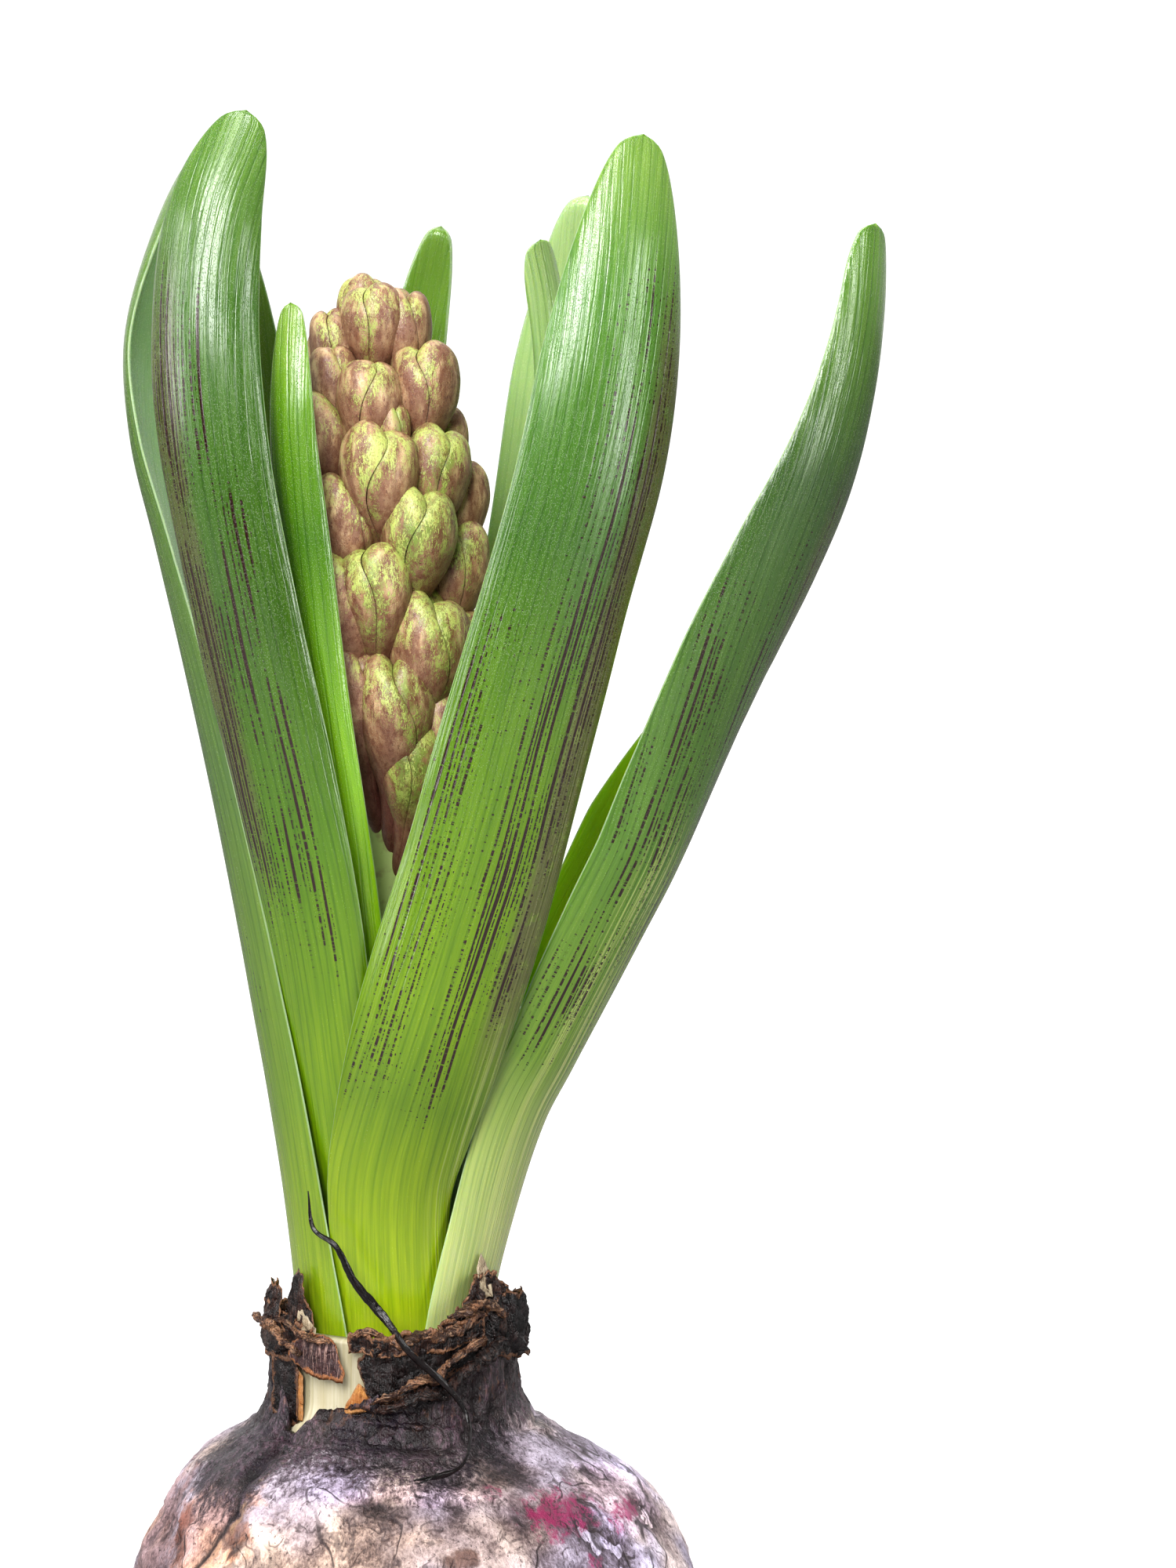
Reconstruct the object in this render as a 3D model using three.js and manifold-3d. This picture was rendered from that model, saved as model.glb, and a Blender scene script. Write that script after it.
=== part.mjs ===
// A hyacinth in tight bud, growing from its bulb: fleshy channelled leaves round a stalk of closed
// buds, a bulb in a papery tunic that has torn round the neck, and a basal plate with old root stubs.
//
// Millimetres, +Z up. The origin is the centre of the flat underside of the basal plate, on which the
// bulb stands. -Y is the front, with the torn window in the tunic, and +X is the side that the longest
// free leaf leans to. Azimuths are degrees, counter-clockwise from +X, so -90 is the front.

import * as THREE from "three";
import { mergeVertices } from "three/addons/utils/BufferGeometryUtils.js";
import Module from "manifold-3d";

const wasm = await Module();
wasm.setup();

// ---------------------------------------------------------------------------------------------
// Driving dimensions
// ---------------------------------------------------------------------------------------------

const GAP = 0.35; // air between pieces that touch on the plant
const WORLD_UP = new THREE.Vector3(0, 0, 1);

// Outline of the tunic, from the basal plate to the foot of the neck: [radius, height].
const TUNIC_OUTLINE = [
  [13.2, 2.6],
  [20.5, 5.6],
  [27.0, 11.6],
  [31.0, 20.0],
  [32.0, 29.0],
  [30.8, 37.1],
  [27.8, 43.2],
  [25.4, 46.7],
  [21.8, 50.0],
  [17.4, 52.6],
];
const TUNIC_THICKNESS = 0.8;
const SCALES_INSET = TUNIC_THICKNESS + 1.4 * GAP; // the fleshy scales lie this far inside the tunic's outline
const NECK_FOOT = 53.2; // height at which the neck begins
const NECK_X = -1.9; // the neck stands a little to the left of the bulb's middle
const NECK_RADIUS = 13.9; // outside of the tunic at the neck
const NECK_FLARE = 2.4; // how much wider the tunic is at the foot of the neck
const FLARE_FROM = NECK_FOOT - 2; // the flare narrows between these two heights
const FLARE_TO = NECK_FOOT + 4.5;
const LEAN_START = 43; // height at which the bulb's middle starts to move over to the neck's
const SOCKET_RADIUS = 11.1; // hole in the neck where the leaves stand
const SOCKET_FLOOR = 49;
const NECK_RIM = 62.4; // top of the fleshy neck
const NECK_RINGS = [NECK_FOOT + 0.3, 56.5, NECK_RIM]; // heights of the fleshy neck's rings of points

const PLATE_RADIUS = 12.2;
const PLATE_HEIGHT = 3.4;
const ROOT_STUBS = 18;
const STUB_REACH = 14.6;
const STUB_RADIUS = 0.65;

const LEAF_FOOT = SOCKET_FLOOR + GAP;
const LEAF_ROWS = 18;
const LEAF_COLUMNS = 6;
const BLADE_EDGE = 0.65; // thickness of a blade at its margin
const TIP_HALF_WIDTH = 0.7;
const RINGS = [10.4, 8.4, 6.4, 4.6]; // outer radius of each layer of leaf bases in the neck

const SCAPE_RADIUS = 2.75;
const SPIKE_FOOT = 114; // height of the lowest bud's foot
const SPIKE_TOP = 170;
const BUD_LENGTH = 20.5;
const BUD_RADIUS = 4.25;

// ---------------------------------------------------------------------------------------------
// Helpers
// ---------------------------------------------------------------------------------------------

const radians = THREE.MathUtils.degToRad;
const lerp = THREE.MathUtils.lerp;
const smoothstep = THREE.MathUtils.smoothstep;

/** Value at t (0 to 1) of a smooth line through equally spaced values. */
function through(values, t) {
  const points = values.map((value, index) => new THREE.Vector2(index, value));
  return new THREE.SplineCurve(points).getPoint(t).y;
}

/** Value at x of a straight-sided line through [x, value] pairs in rising x. */
function stepped(pairs, x) {
  const next = pairs.findIndex((pair) => pair[0] >= x);
  if (next === 0) return pairs[0][1];
  if (next < 0) return pairs[pairs.length - 1][1];
  const [x0, v0] = pairs[next - 1];
  const [x1, v1] = pairs[next];
  return lerp(v0, v1, (x - x0) / (x1 - x0));
}

/** A repeatable stream of numbers from 0 to 1. */
function seededRandom(seed) {
  let state = seed;
  return () => {
    state = (state * 1664525 + 1013904223) % 4294967296;
    return state / 4294967296;
  };
}

/** X of the plant's middle line at a height: 0 in the bulb, NECK_X in the neck. */
function middleX(height) {
  return NECK_X * smoothstep(height, LEAN_START, NECK_FOOT);
}

/** A point at an azimuth and radius from the plant's middle line. */
function around(azimuth, radius, height) {
  const angle = radians(azimuth);
  return new THREE.Vector3(
    middleX(height) + radius * Math.cos(angle),
    radius * Math.sin(angle),
    height,
  );
}

/**
 * A closed wall between two grids of points with the same rows and columns. Both faces are split
 * along the same diagonals. Where closedAround is true the last column joins the first.
 */
function wallBetween(outer, inner, closedAround) {
  const rows = outer.length;
  const columns = outer[0].length;
  const positions = [];
  for (const grid of [outer, inner]) {
    for (const row of grid) row.forEach((point) => positions.push(point.x, point.y, point.z));
  }
  const out = (i, j) => i * columns + (j % columns);
  const into = (i, j) => rows * columns + out(i, j);
  const index = [];
  const quad = (a, b, c, d) => index.push(a, b, c, a, c, d);
  const spans = closedAround ? columns : columns - 1;
  for (let i = 0; i < rows - 1; i++) {
    for (let j = 0; j < spans; j++) {
      index.push(out(i, j), out(i, j + 1), out(i + 1, j + 1));
      index.push(out(i, j), out(i + 1, j + 1), out(i + 1, j));
      index.push(into(i, j), into(i + 1, j + 1), into(i, j + 1));
      index.push(into(i, j), into(i + 1, j), into(i + 1, j + 1));
    }
  }
  for (let j = 0; j < spans; j++) {
    quad(out(0, j + 1), out(0, j), into(0, j), into(0, j + 1));
    quad(out(rows - 1, j), out(rows - 1, j + 1), into(rows - 1, j + 1), into(rows - 1, j));
  }
  for (let i = 0; i < rows - 1 && !closedAround; i++) {
    quad(out(i, 0), out(i + 1, 0), into(i + 1, 0), into(i, 0));
    quad(out(i + 1, columns - 1), out(i, columns - 1), into(i, columns - 1), into(i + 1, columns - 1));
  }
  const geometry = new THREE.BufferGeometry();
  geometry.setAttribute("position", new THREE.Float32BufferAttribute(positions, 3));
  geometry.setIndex(index);
  return geometry;
}

/** A closed solid of rings round a line of middle points, with a point at each end. */
function ringedSolid(rings, foot, tip) {
  const sides = rings[0].length;
  const positions = [];
  rings.flat().forEach((point) => positions.push(point.x, point.y, point.z));
  positions.push(foot.x, foot.y, foot.z, tip.x, tip.y, tip.z);
  const footIndex = rings.length * sides;
  const index = [];
  const at = (i, j) => i * sides + (j % sides);
  for (let j = 0; j < sides; j++) {
    index.push(footIndex, at(0, j + 1), at(0, j));
    for (let i = 0; i < rings.length - 1; i++) {
      index.push(at(i, j), at(i, j + 1), at(i + 1, j + 1));
      index.push(at(i, j), at(i + 1, j + 1), at(i + 1, j));
    }
    index.push(at(rings.length - 1, j), at(rings.length - 1, j + 1), footIndex + 1);
  }
  const geometry = new THREE.BufferGeometry();
  geometry.setAttribute("position", new THREE.Float32BufferAttribute(positions, 3));
  geometry.setIndex(index);
  return geometry;
}

/** A geometry as a solid that can be joined and cut. */
function solidOf(geometry) {
  const bare = geometry.clone();
  bare.deleteAttribute("normal");
  bare.deleteAttribute("uv");
  const merged = mergeVertices(bare, 1e-4);
  return new wasm.Manifold(
    new wasm.Mesh({
      numProp: 3,
      vertProperties: new Float32Array(merged.attributes.position.array),
      triVerts: new Uint32Array(merged.index.array),
    }),
  );
}

/** A joined solid as a geometry, with any hollow that was sealed inside it filled. */
function geometryOf(solid) {
  const bodies = solid.decompose().sort((a, b) => b.volume() - a.volume());
  const mesh = bodies[0].getMesh();
  const geometry = new THREE.BufferGeometry();
  geometry.setAttribute("position", new THREE.BufferAttribute(new Float32Array(mesh.vertProperties), 3));
  geometry.setIndex(new THREE.BufferAttribute(new Uint32Array(mesh.triVerts), 1));
  return geometry;
}

const plant = new THREE.Group();
plant.name = "hyacinth_with_bulb";

/** Adds one named piece with its own finish. */
function addPiece(name, geometry, color, roughness) {
  const flat = geometry.index ? geometry.toNonIndexed() : geometry;
  flat.computeVertexNormals();
  const material = new THREE.MeshStandardMaterial({ color, roughness, metalness: 0 });
  const mesh = new THREE.Mesh(flat, material);
  mesh.name = name;
  plant.add(mesh);
}

// ---------------------------------------------------------------------------------------------
// Bulb: basal plate, fleshy scales and tunic
// ---------------------------------------------------------------------------------------------

/** Slow bumps in the bulb's roundness, as a factor on its radius. */
function lumpiness(azimuth, height) {
  const angle = radians(azimuth);
  return 1 + 0.011 * Math.cos(3 * angle + 0.6) + 0.008 * Math.cos(5 * angle + height / 9);
}

/** The tunic's outline moved in by a distance, as [radius, height] pairs. */
function outlineInside(distance) {
  return TUNIC_OUTLINE.map(([radius, height], index) => {
    const before = TUNIC_OUTLINE[Math.max(index - 1, 0)];
    const after = TUNIC_OUTLINE[Math.min(index + 1, TUNIC_OUTLINE.length - 1)];
    const along = new THREE.Vector2(after[0] - before[0], after[1] - before[1]).normalize();
    return [radius - distance * along.y, height + distance * along.x];
  });
}

/** Rows of points round the bulb at an outline. */
function bulbRows(outline, columns) {
  return outline.map(([radius, height]) =>
    Array.from({ length: columns }, (_, j) => {
      const azimuth = (360 * j) / columns;
      return around(azimuth, radius * lumpiness(azimuth, height), height);
    }),
  );
}

const BULB_COLUMNS = 32;
const TUNIC_COLUMNS = 44;

// Top of the torn tunic round the neck: [azimuth, height]. The notch at the front left shows the
// pale scales, and from there the edge climbs to the right as a diagonal fold.
const TUNIC_RIM = [
  [-180, 62.8],
  [-160, 61.6],
  [-147, 59.5],
  [-139, 54.6],
  [-132, 54.4],
  [-123, 57.2],
  [-114, 57.4],
  [-90, 59.4],
  [-66, 61.2],
  [-45, 63.4],
  [-20, 63.0],
  [30, 63.9],
  [75, 64.6],
  [120, 63.2],
  [180, 62.8],
];

/** The tunic's outer radius in the neck: it flares a little at the rim. */
function neckRadius(height) {
  return NECK_RADIUS + NECK_FLARE * (1 - smoothstep(height, FLARE_FROM, FLARE_TO));
}

const NECK_ROWS = 4;

/** The tunic's grid of points, moved in by a distance. */
function tunicGrid(distance) {
  const body = bulbRows(outlineInside(distance), TUNIC_COLUMNS);
  const neck = Array.from({ length: NECK_ROWS }, (_, i) =>
    Array.from({ length: TUNIC_COLUMNS }, (_, j) => {
      const azimuth = ((360 * j) / TUNIC_COLUMNS + 180) % 360 - 180;
      const tear = j % 2 ? 0.35 : -0.35;
      const rim = stepped(TUNIC_RIM, azimuth) + tear;
      const height = lerp(NECK_FOOT + 0.3, rim, i / (NECK_ROWS - 1));
      return around(azimuth, neckRadius(height) - distance, height);
    }),
  );
  return [...body, ...neck];
}

addPiece("tunic", wallBetween(tunicGrid(0), tunicGrid(TUNIC_THICKNESS), true), 0x8d7480, 0.7);

/** Fleshy scales: one plump body with the hole in its neck where the leaves stand. */
function scalesSolid() {
  const skin = bulbRows(outlineInside(SCALES_INSET), BULB_COLUMNS);
  for (const height of NECK_RINGS) {
    skin.push(
      Array.from({ length: BULB_COLUMNS }, (_, j) =>
        around((360 * j) / BULB_COLUMNS, neckRadius(height) - SCALES_INSET, height),
      ),
    );
  }
  for (const height of [NECK_RIM, SOCKET_FLOOR]) {
    skin.push(
      Array.from({ length: BULB_COLUMNS }, (_, j) =>
        new THREE.Vector3(
          NECK_X + SOCKET_RADIUS * Math.cos(radians((360 * j) / BULB_COLUMNS)),
          SOCKET_RADIUS * Math.sin(radians((360 * j) / BULB_COLUMNS)),
          height,
        ),
      ),
    );
  }
  const foot = new THREE.Vector3(0, 0, skin[0][0].z);
  return ringedSolid(skin, foot, new THREE.Vector3(NECK_X, 0, SOCKET_FLOOR));
}

addPiece("bulb_scales", scalesSolid(), 0xe9e3bd, 0.45);

/** Basal plate: a flat corky disc, with a fringe of old root stubs round its edge. */
function basalPlate() {
  const profile = [
    new THREE.Vector2(0, 0),
    new THREE.Vector2(PLATE_RADIUS - 1.2, 0),
    new THREE.Vector2(PLATE_RADIUS, 1),
    new THREE.Vector2(PLATE_RADIUS - 0.4, PLATE_HEIGHT - 0.4),
    new THREE.Vector2(PLATE_RADIUS - 2, PLATE_HEIGHT),
    new THREE.Vector2(0, PLATE_HEIGHT),
  ];
  const disc = new THREE.LatheGeometry(profile, 24).rotateX(Math.PI / 2);
  let plate = solidOf(disc);
  const random = seededRandom(7);
  for (let stub = 0; stub < ROOT_STUBS; stub++) {
    const azimuth = radians((360 * (stub + 0.5 * random())) / ROOT_STUBS);
    const reach = STUB_REACH - 1.4 * random();
    const start = PLATE_RADIUS - 2.5;
    const root = new THREE.CylinderGeometry(0.55 * STUB_RADIUS, STUB_RADIUS, reach - start, 6);
    root.rotateZ(-Math.PI / 2);
    root.translate((start + reach) / 2, 0, STUB_RADIUS + 0.25 + 0.5 * random());
    root.rotateZ(azimuth);
    plate = plate.add(solidOf(root));
  }
  return geometryOf(plate);
}

addPiece("basal_plate", basalPlate(), 0x8a6f4c, 0.9);

// ---------------------------------------------------------------------------------------------
// Torn scraps of old tunic round the neck
// ---------------------------------------------------------------------------------------------

/**
 * A ragged scrap that curls round the neck. Its lower and upper edges and its outer radius are
 * [azimuth, value] lines, lean is how far its top stands out from its foot.
 */
function neckScrap({ from, to, foot, top, radius, lean, thickness, tear, columns, rows }) {
  const grid = (depth) =>
    Array.from({ length: rows + 1 }, (_, i) =>
      Array.from({ length: columns + 1 }, (_, j) => {
        const azimuth = lerp(from, to, j / columns);
        const up = i / rows;
        const ragged = (j % 2 ? tear : -tear) * up;
        const height = lerp(stepped(foot, azimuth), stepped(top, azimuth), up) + ragged;
        const reach = stepped(radius, azimuth) + lean * up * up - depth;
        return around(azimuth, reach, height);
      }),
    );
  return wallBetween(grid(0), grid(thickness), false);
}

const SCRAPS = [
  {
    name: "neck_rag_left",
    color: 0x3a2420,
    from: -212,
    to: -134,
    foot: [[-212, 64.2], [-180, 64.2], [-158, 63.2], [-146, 63], [-134, 63]],
    top: [[-212, 66.4], [-190, 67.2], [-172, 68.6], [-158, 69.4], [-150, 71.4], [-141, 70.2], [-134, 66.6]],
    radius: [[-212, 13.2], [-180, 14.0], [-165, 13.6], [-134, 12.6]],
    lean: -0.7,
    thickness: 1.1,
    tear: 0.45,
    columns: 13,
    rows: 3,
  },
  {
    name: "neck_flap",
    color: 0x4a2f30,
    from: -147,
    to: -109,
    foot: [[-147, 61.2], [-135, 60.4], [-109, 60.2]],
    top: [[-147, 62.0], [-134, 62.3], [-130, 63.9], [-109, 64.2]],
    radius: [[-147, 14.2], [-109, 14.0]],
    lean: -0.3,
    thickness: 0.8,
    tear: -0.3,
    columns: 9,
    rows: 3,
  },
  {
    name: "neck_band",
    color: 0x2a1c1b,
    from: -107,
    to: -44,
    foot: [[-107, 59.0], [-90, 60.3], [-66, 62.1], [-44, 64.3]],
    top: [[-107, 65.2], [-90, 64.6], [-66, 65.2], [-44, 67.0]],
    radius: [[-107, 14.1], [-44, 14.1]],
    lean: 0.5,
    thickness: 0.9,
    tear: 0.25,
    columns: 12,
    rows: 4,
  },
  {
    name: "neck_rag_right",
    color: 0x3d2822,
    from: -42,
    to: 44,
    foot: [[-42, 64.6], [-20, 64.2], [44, 65.0]],
    top: [[-42, 71.4], [-34, 71.8], [-20, 68.8], [0, 68.0], [20, 67.0], [44, 66.6]],
    radius: [[-42, 13.3], [-10, 14.2], [44, 13.6]],
    lean: -0.4,
    thickness: 1.2,
    tear: 0.45,
    columns: 13,
    rows: 3,
  },
];
for (const scrap of SCRAPS) addPiece(scrap.name, neckScrap(scrap), scrap.color, 0.6);

// ---------------------------------------------------------------------------------------------
// Leaves
// ---------------------------------------------------------------------------------------------

// Each leaf is a fleshy channelled blade. It stands in the neck in one layer of the ring of leaf
// bases, at an azimuth. From there path lists the middle of its outer face, [x, y, z]. The other
// lists are equally spaced from foot to tip: facing is the azimuth its outer face looks to,
// halfWidth is half its width across the curve, roll is the radius of its channel, and thickness
// is that of its middle. Where the right half, seen from outside, differs, rightHalf gives it.
// taperFrom is the fraction of the length at which the blade starts to round off into its tip.
const LEAVES = [
  {
    name: "leaf_front_left",
    layer: 2,
    azimuth: -128,
    path: [
      [-5.8, -6.7, 74], [-6.1, -8.4, 82], [-7.6, -9.6, 92], [-10.2, -11.7, 107.5], [-13.8, -14.2, 125],
      [-17.6, -15.8, 143], [-20.6, -16.2, 160], [-21.4, -15.4, 174], [-20.2, -13.6, 185], [-16.6, -9.4, 195.6],
    ],
    facing: [-128, -124, -118, -118, -116, -112, -106],
    halfWidth: [5.2, 4.3, 5.6, 6.8, 6.8, 6.8, 6.4],
    roll: [6.4, 6.8, 9.5, 11, 10.5, 9, 6.5],
    thickness: [1.4, 1.4, 1.6, 1.6, 1.5, 1.4, 1.2],
    taperFrom: 0.86,
    color: 0x4f9a3c,
  },
  {
    name: "leaf_front_centre",
    layer: 1,
    azimuth: -88,
    path: [
      [-2.0, -10.8, 77], [-1.6, -12, 82], [-0.4, -13.2, 87], [3.5, -15.4, 99.5], [8.6, -16.6, 115.5],
      [12.6, -17.6, 130], [16.3, -18.2, 143], [20.6, -18.4, 158], [22.9, -17.8, 170], [24.3, -15.8, 182],
      [25.2, -12.2, 193],
    ],
    facing: [-88, -88, -84, -78, -74, -70, -72],
    halfWidth: [7.4, 6.4, 9.4, 9.2, 8.8, 8.8, 7.2],
    rightHalf: [7.4, 6.5, 9.2, 9.2, 8.8, 8.8, 7.2],
    roll: [8.4, 9.6, 13, 14, 13.5, 12, 8],
    thickness: [1.4, 1.4, 1.7, 1.8, 1.7, 1.5, 1.2],
    taperFrom: 0.8,
    color: 0x5aa83a,
  },
  {
    name: "leaf_right",
    layer: 0,
    azimuth: -8,
    path: [
      [11.3, -2.3, 77], [14.5, -2.4, 87], [17.6, -2.6, 93], [24.8, -3.6, 107], [28.8, -4.2, 115],
      [32.2, -5.1, 123.5], [37.4, -7.9, 137], [41.4, -9.3, 147], [45.2, -9.8, 157], [47.9, -9.5, 167],
      [49.2, -8.8, 175], [49.9, -7.4, 183.8],
    ],
    facing: [-8, -11, -15, -18, -21, -33, -43, -45, -45],
    halfWidth: [11.6, 10.6, 9.9, 11.5, 11.8, 10.4, 8, 5, 3],
    rightHalf: [10.6, 10.3, 12.4, 18.6, 20.4, 16, 9.5, 6.4, 4],
    roll: [10.4, 10.2, 9.6, 10, 10, 10, 9.8, 8.2, 5.5],
    thickness: [1.4, 1.4, 1.4, 1.5, 1.5, 1.5, 1.5, 1.4, 1.2],
    taperFrom: 0.955,
    color: 0x4f9440,
  },
  {
    name: "leaf_inner_front",
    layer: 3,
    azimuth: -122,
    path: [
      [-4.7, -5.8, 90], [-6.4, -8.8, 111], [-9.2, -12.2, 133], [-11.1, -13.2, 150], [-12.1, -13.2, 161],
      [-12.2, -12.2, 169], [-12, -10, 175.4],
    ],
    facing: [-122, -118, -116, -114, -112, -108],
    halfWidth: [4.0, 4.0, 3.8, 3.6, 3.5, 3.0],
    roll: [4.6, 5.5, 6, 5.5, 5, 4],
    thickness: [1.35, 1.4, 1.5, 1.4, 1.3, 1.1],
    taperFrom: 0.82,
    color: 0x66b02e,
  },
  {
    name: "leaf_far_left",
    layer: 0,
    azimuth: 196,
    path: [
      [-13.1, -3.4, 77], [-15.0, -3.4, 90], [-16.6, -3.3, 99], [-18.2, -3.1, 107.7], [-21.3, -2.5, 123],
      [-24.4, -1.6, 137], [-27.2, -0.4, 149], [-29.6, 0.8, 160], [-29.9, 1.6, 171], [-27.6, 0.4, 181],
      [-24, -2, 189.5], [-19.4, -4.6, 194.8],
    ],
    facing: [196, 198, 198, 190, 178, 158, 168],
    halfWidth: [10.2, 7.6, 5.8, 5.6, 6.0, 6.0, 5.0],
    rightHalf: [10.2, 6.3, 5.3, 5.6, 6.0, 6.0, 5.0],
    roll: [10.4, 9.6, 9, 8.5, 8.5, 8, 6],
    thickness: [1.4, 1.4, 1.5, 1.5, 1.4, 1.3, 1.1],
    taperFrom: 0.88,
    color: 0x4f9a4c,
  },
  {
    name: "leaf_back_centre",
    layer: 2,
    azimuth: 84,
    path: [
      [-1.8, 8.6, 85], [-2.0, 12, 105], [-2.0, 15, 122], [-2.0, 16.4, 140], [-1.4, 16.6, 157],
      [0.4, 16, 170], [2.0, 14.6, 178], [3.3, 12.6, 183.9],
    ],
    facing: [84, 86, 88, 90, 90, 86],
    halfWidth: [5.4, 5.4, 5.2, 4.8, 4.4, 3.8],
    roll: [6.4, 8, 9, 9, 7, 5],
    thickness: [1.35, 1.4, 1.4, 1.4, 1.3, 1.1],
    taperFrom: 0.82,
    color: 0x57a347,
  },
  {
    name: "leaf_back_right",
    layer: 1,
    azimuth: 45,
    path: [
      [4.0, 8.0, 78], [6.0, 12, 96], [9.6, 15.8, 121], [13.2, 17.6, 140], [15.4, 18, 153],
      [16.9, 18, 165], [18.4, 17, 176], [19.4, 12.0, 187.2],
    ],
    facing: [45, 50, 60, 64, 66, 66],
    halfWidth: [5.9, 5.7, 6.8, 7.2, 6.8, 5.4],
    rightHalf: [5.9, 5.7, 6.4, 6.6, 6.8, 5.6],
    roll: [8.4, 9.2, 10.5, 11, 9, 5],
    thickness: [1.4, 1.5, 1.5, 1.5, 1.4, 1.1],
    taperFrom: 0.84,
    color: 0x57a347,
  },
  {
    name: "leaf_inner_right",
    layer: 3,
    azimuth: 8,
    path: [
      [4.8, 1.0, 85], [8.8, 2.2, 104], [12.4, 3, 120], [14.0, 3, 136], [15.3, 2.6, 153],
      [16.2, 1.0, 168], [15.5, -0.4, 176], [14.3, -1.6, 182.2],
    ],
    facing: [8, 0, -20, -40, -52, -58],
    halfWidth: [3.9, 3.8, 3.6, 3.2, 2.9, 3.0],
    roll: [4.6, 5, 4.5, 4, 3.2, 2.6],
    thickness: [1.35, 1.4, 1.3, 1.2, 1.1, 1.0],
    taperFrom: 0.95,
    color: 0x7fae7c,
  },
  {
    name: "leaf_back_left",
    layer: 1,
    azimuth: 140,
    path: [
      [-9.2, 8.6, 85], [-10.6, 11, 105], [-12.2, 13, 122], [-15.4, 15, 148], [-18.0, 15.2, 165],
      [-19.3, 14.2, 176], [-20.2, 12.0, 185],
    ],
    facing: [140, 136, 132, 130, 128, 126],
    halfWidth: [6.3, 6.0, 5.6, 5.2, 4.8, 4.0],
    roll: [8.4, 9, 9.5, 9, 7, 5],
    thickness: [1.4, 1.4, 1.4, 1.4, 1.3, 1.1],
    taperFrom: 0.84,
    color: 0x57a347,
  },
];

/** Distance of a fraction along the blade, with rows closer together towards the tip. */
function rowPlace(row) {
  const t = row / LEAF_ROWS;
  return t + 0.16 * Math.sin(Math.PI * t) * t;
}

/** A closed blade from its description. */
function leafBlade(leaf) {
  const ring = RINGS[leaf.layer];
  const points = [
    around(leaf.azimuth, ring, LEAF_FOOT),
    around(leaf.azimuth, ring, LEAF_FOOT + 14),
    ...leaf.path.map((point) => new THREE.Vector3(...point)),
  ];
  points[0].x = points[1].x;
  const spine = new THREE.CatmullRomCurve3(points, false, "centripetal");
  const outer = [];
  const inner = [];
  for (let row = 0; row <= LEAF_ROWS; row++) {
    const s = Math.min(rowPlace(row), 1);
    const centre = spine.getPointAt(s);
    const along = spine.getTangentAt(s);
    const look = radians(through(leaf.facing, s));
    const sideways = new THREE.Vector3(Math.cos(look), Math.sin(look), 0);
    sideways.crossVectors(along, sideways).normalize();
    const outward = new THREE.Vector3().crossVectors(sideways, along);
    const closing = Math.max(0, (s - leaf.taperFrom) / (1 - leaf.taperFrom));
    const rounding = Math.sqrt(Math.max(0, 1 - closing ** 2));
    const widthOf = (list) => lerp(TIP_HALF_WIDTH, through(list, s), rounding);
    const left = widthOf(leaf.halfWidth);
    const right = widthOf(leaf.rightHalf ?? leaf.halfWidth);
    const roll = through(leaf.roll, s);
    const middle = through(leaf.thickness, s);
    const hub = centre.clone().addScaledVector(outward, -roll);
    const section = (depthOf) =>
      Array.from({ length: LEAF_COLUMNS + 1 }, (_, column) => {
        const u = (2 * column) / LEAF_COLUMNS - 1;
        const angle = (u * (u < 0 ? left : right)) / roll;
        const reach = roll - depthOf(u);
        return hub
          .clone()
          .addScaledVector(sideways, reach * Math.sin(angle))
          .addScaledVector(outward, reach * Math.cos(angle));
      });
    outer.push(section(() => 0));
    inner.push(section((u) => lerp(middle, BLADE_EDGE, u * u)));
  }
  return wallBetween(outer, inner, false);
}

for (const leaf of LEAVES) addPiece(leaf.name, leafBlade(leaf), leaf.color, 0.4);

// ---------------------------------------------------------------------------------------------
// Flower spike: a stalk with closed buds
// ---------------------------------------------------------------------------------------------

/** Middle line of the stalk: it leans very slightly to the left. */
function stalkX(height) {
  return lerp(NECK_X, -3.2, smoothstep(height, SPIKE_FOOT - 20, SPIKE_TOP + 8));
}

// Rows of buds from the lowest up. tip is the height of the row's tips at the front, start the
// azimuth of one bud, spread the radius at which the tips stand, and size a factor on the bud.
const BUD_ROWS = [
  { tip: 137.2, count: 7, start: -84, spread: 6.6, size: 1.0 },
  { tip: 146.4, count: 7, start: -58, spread: 7.9, size: 1.0 },
  { tip: 155.6, count: 7, start: -70, spread: 8.3, size: 0.98 },
  { tip: 162.8, count: 8, start: -52, spread: 7.8, size: 0.92 },
  { tip: 171.0, count: 7, start: -58, spread: 5.6, size: 0.86 },
  { tip: 177.6, count: 5, start: -75, spread: 2.3, size: 0.66 },
];
const ROW_TILT = 3.2; // rows climb to the left by this much over the spread of the tips
const BUD_SIDES = 8;

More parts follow.
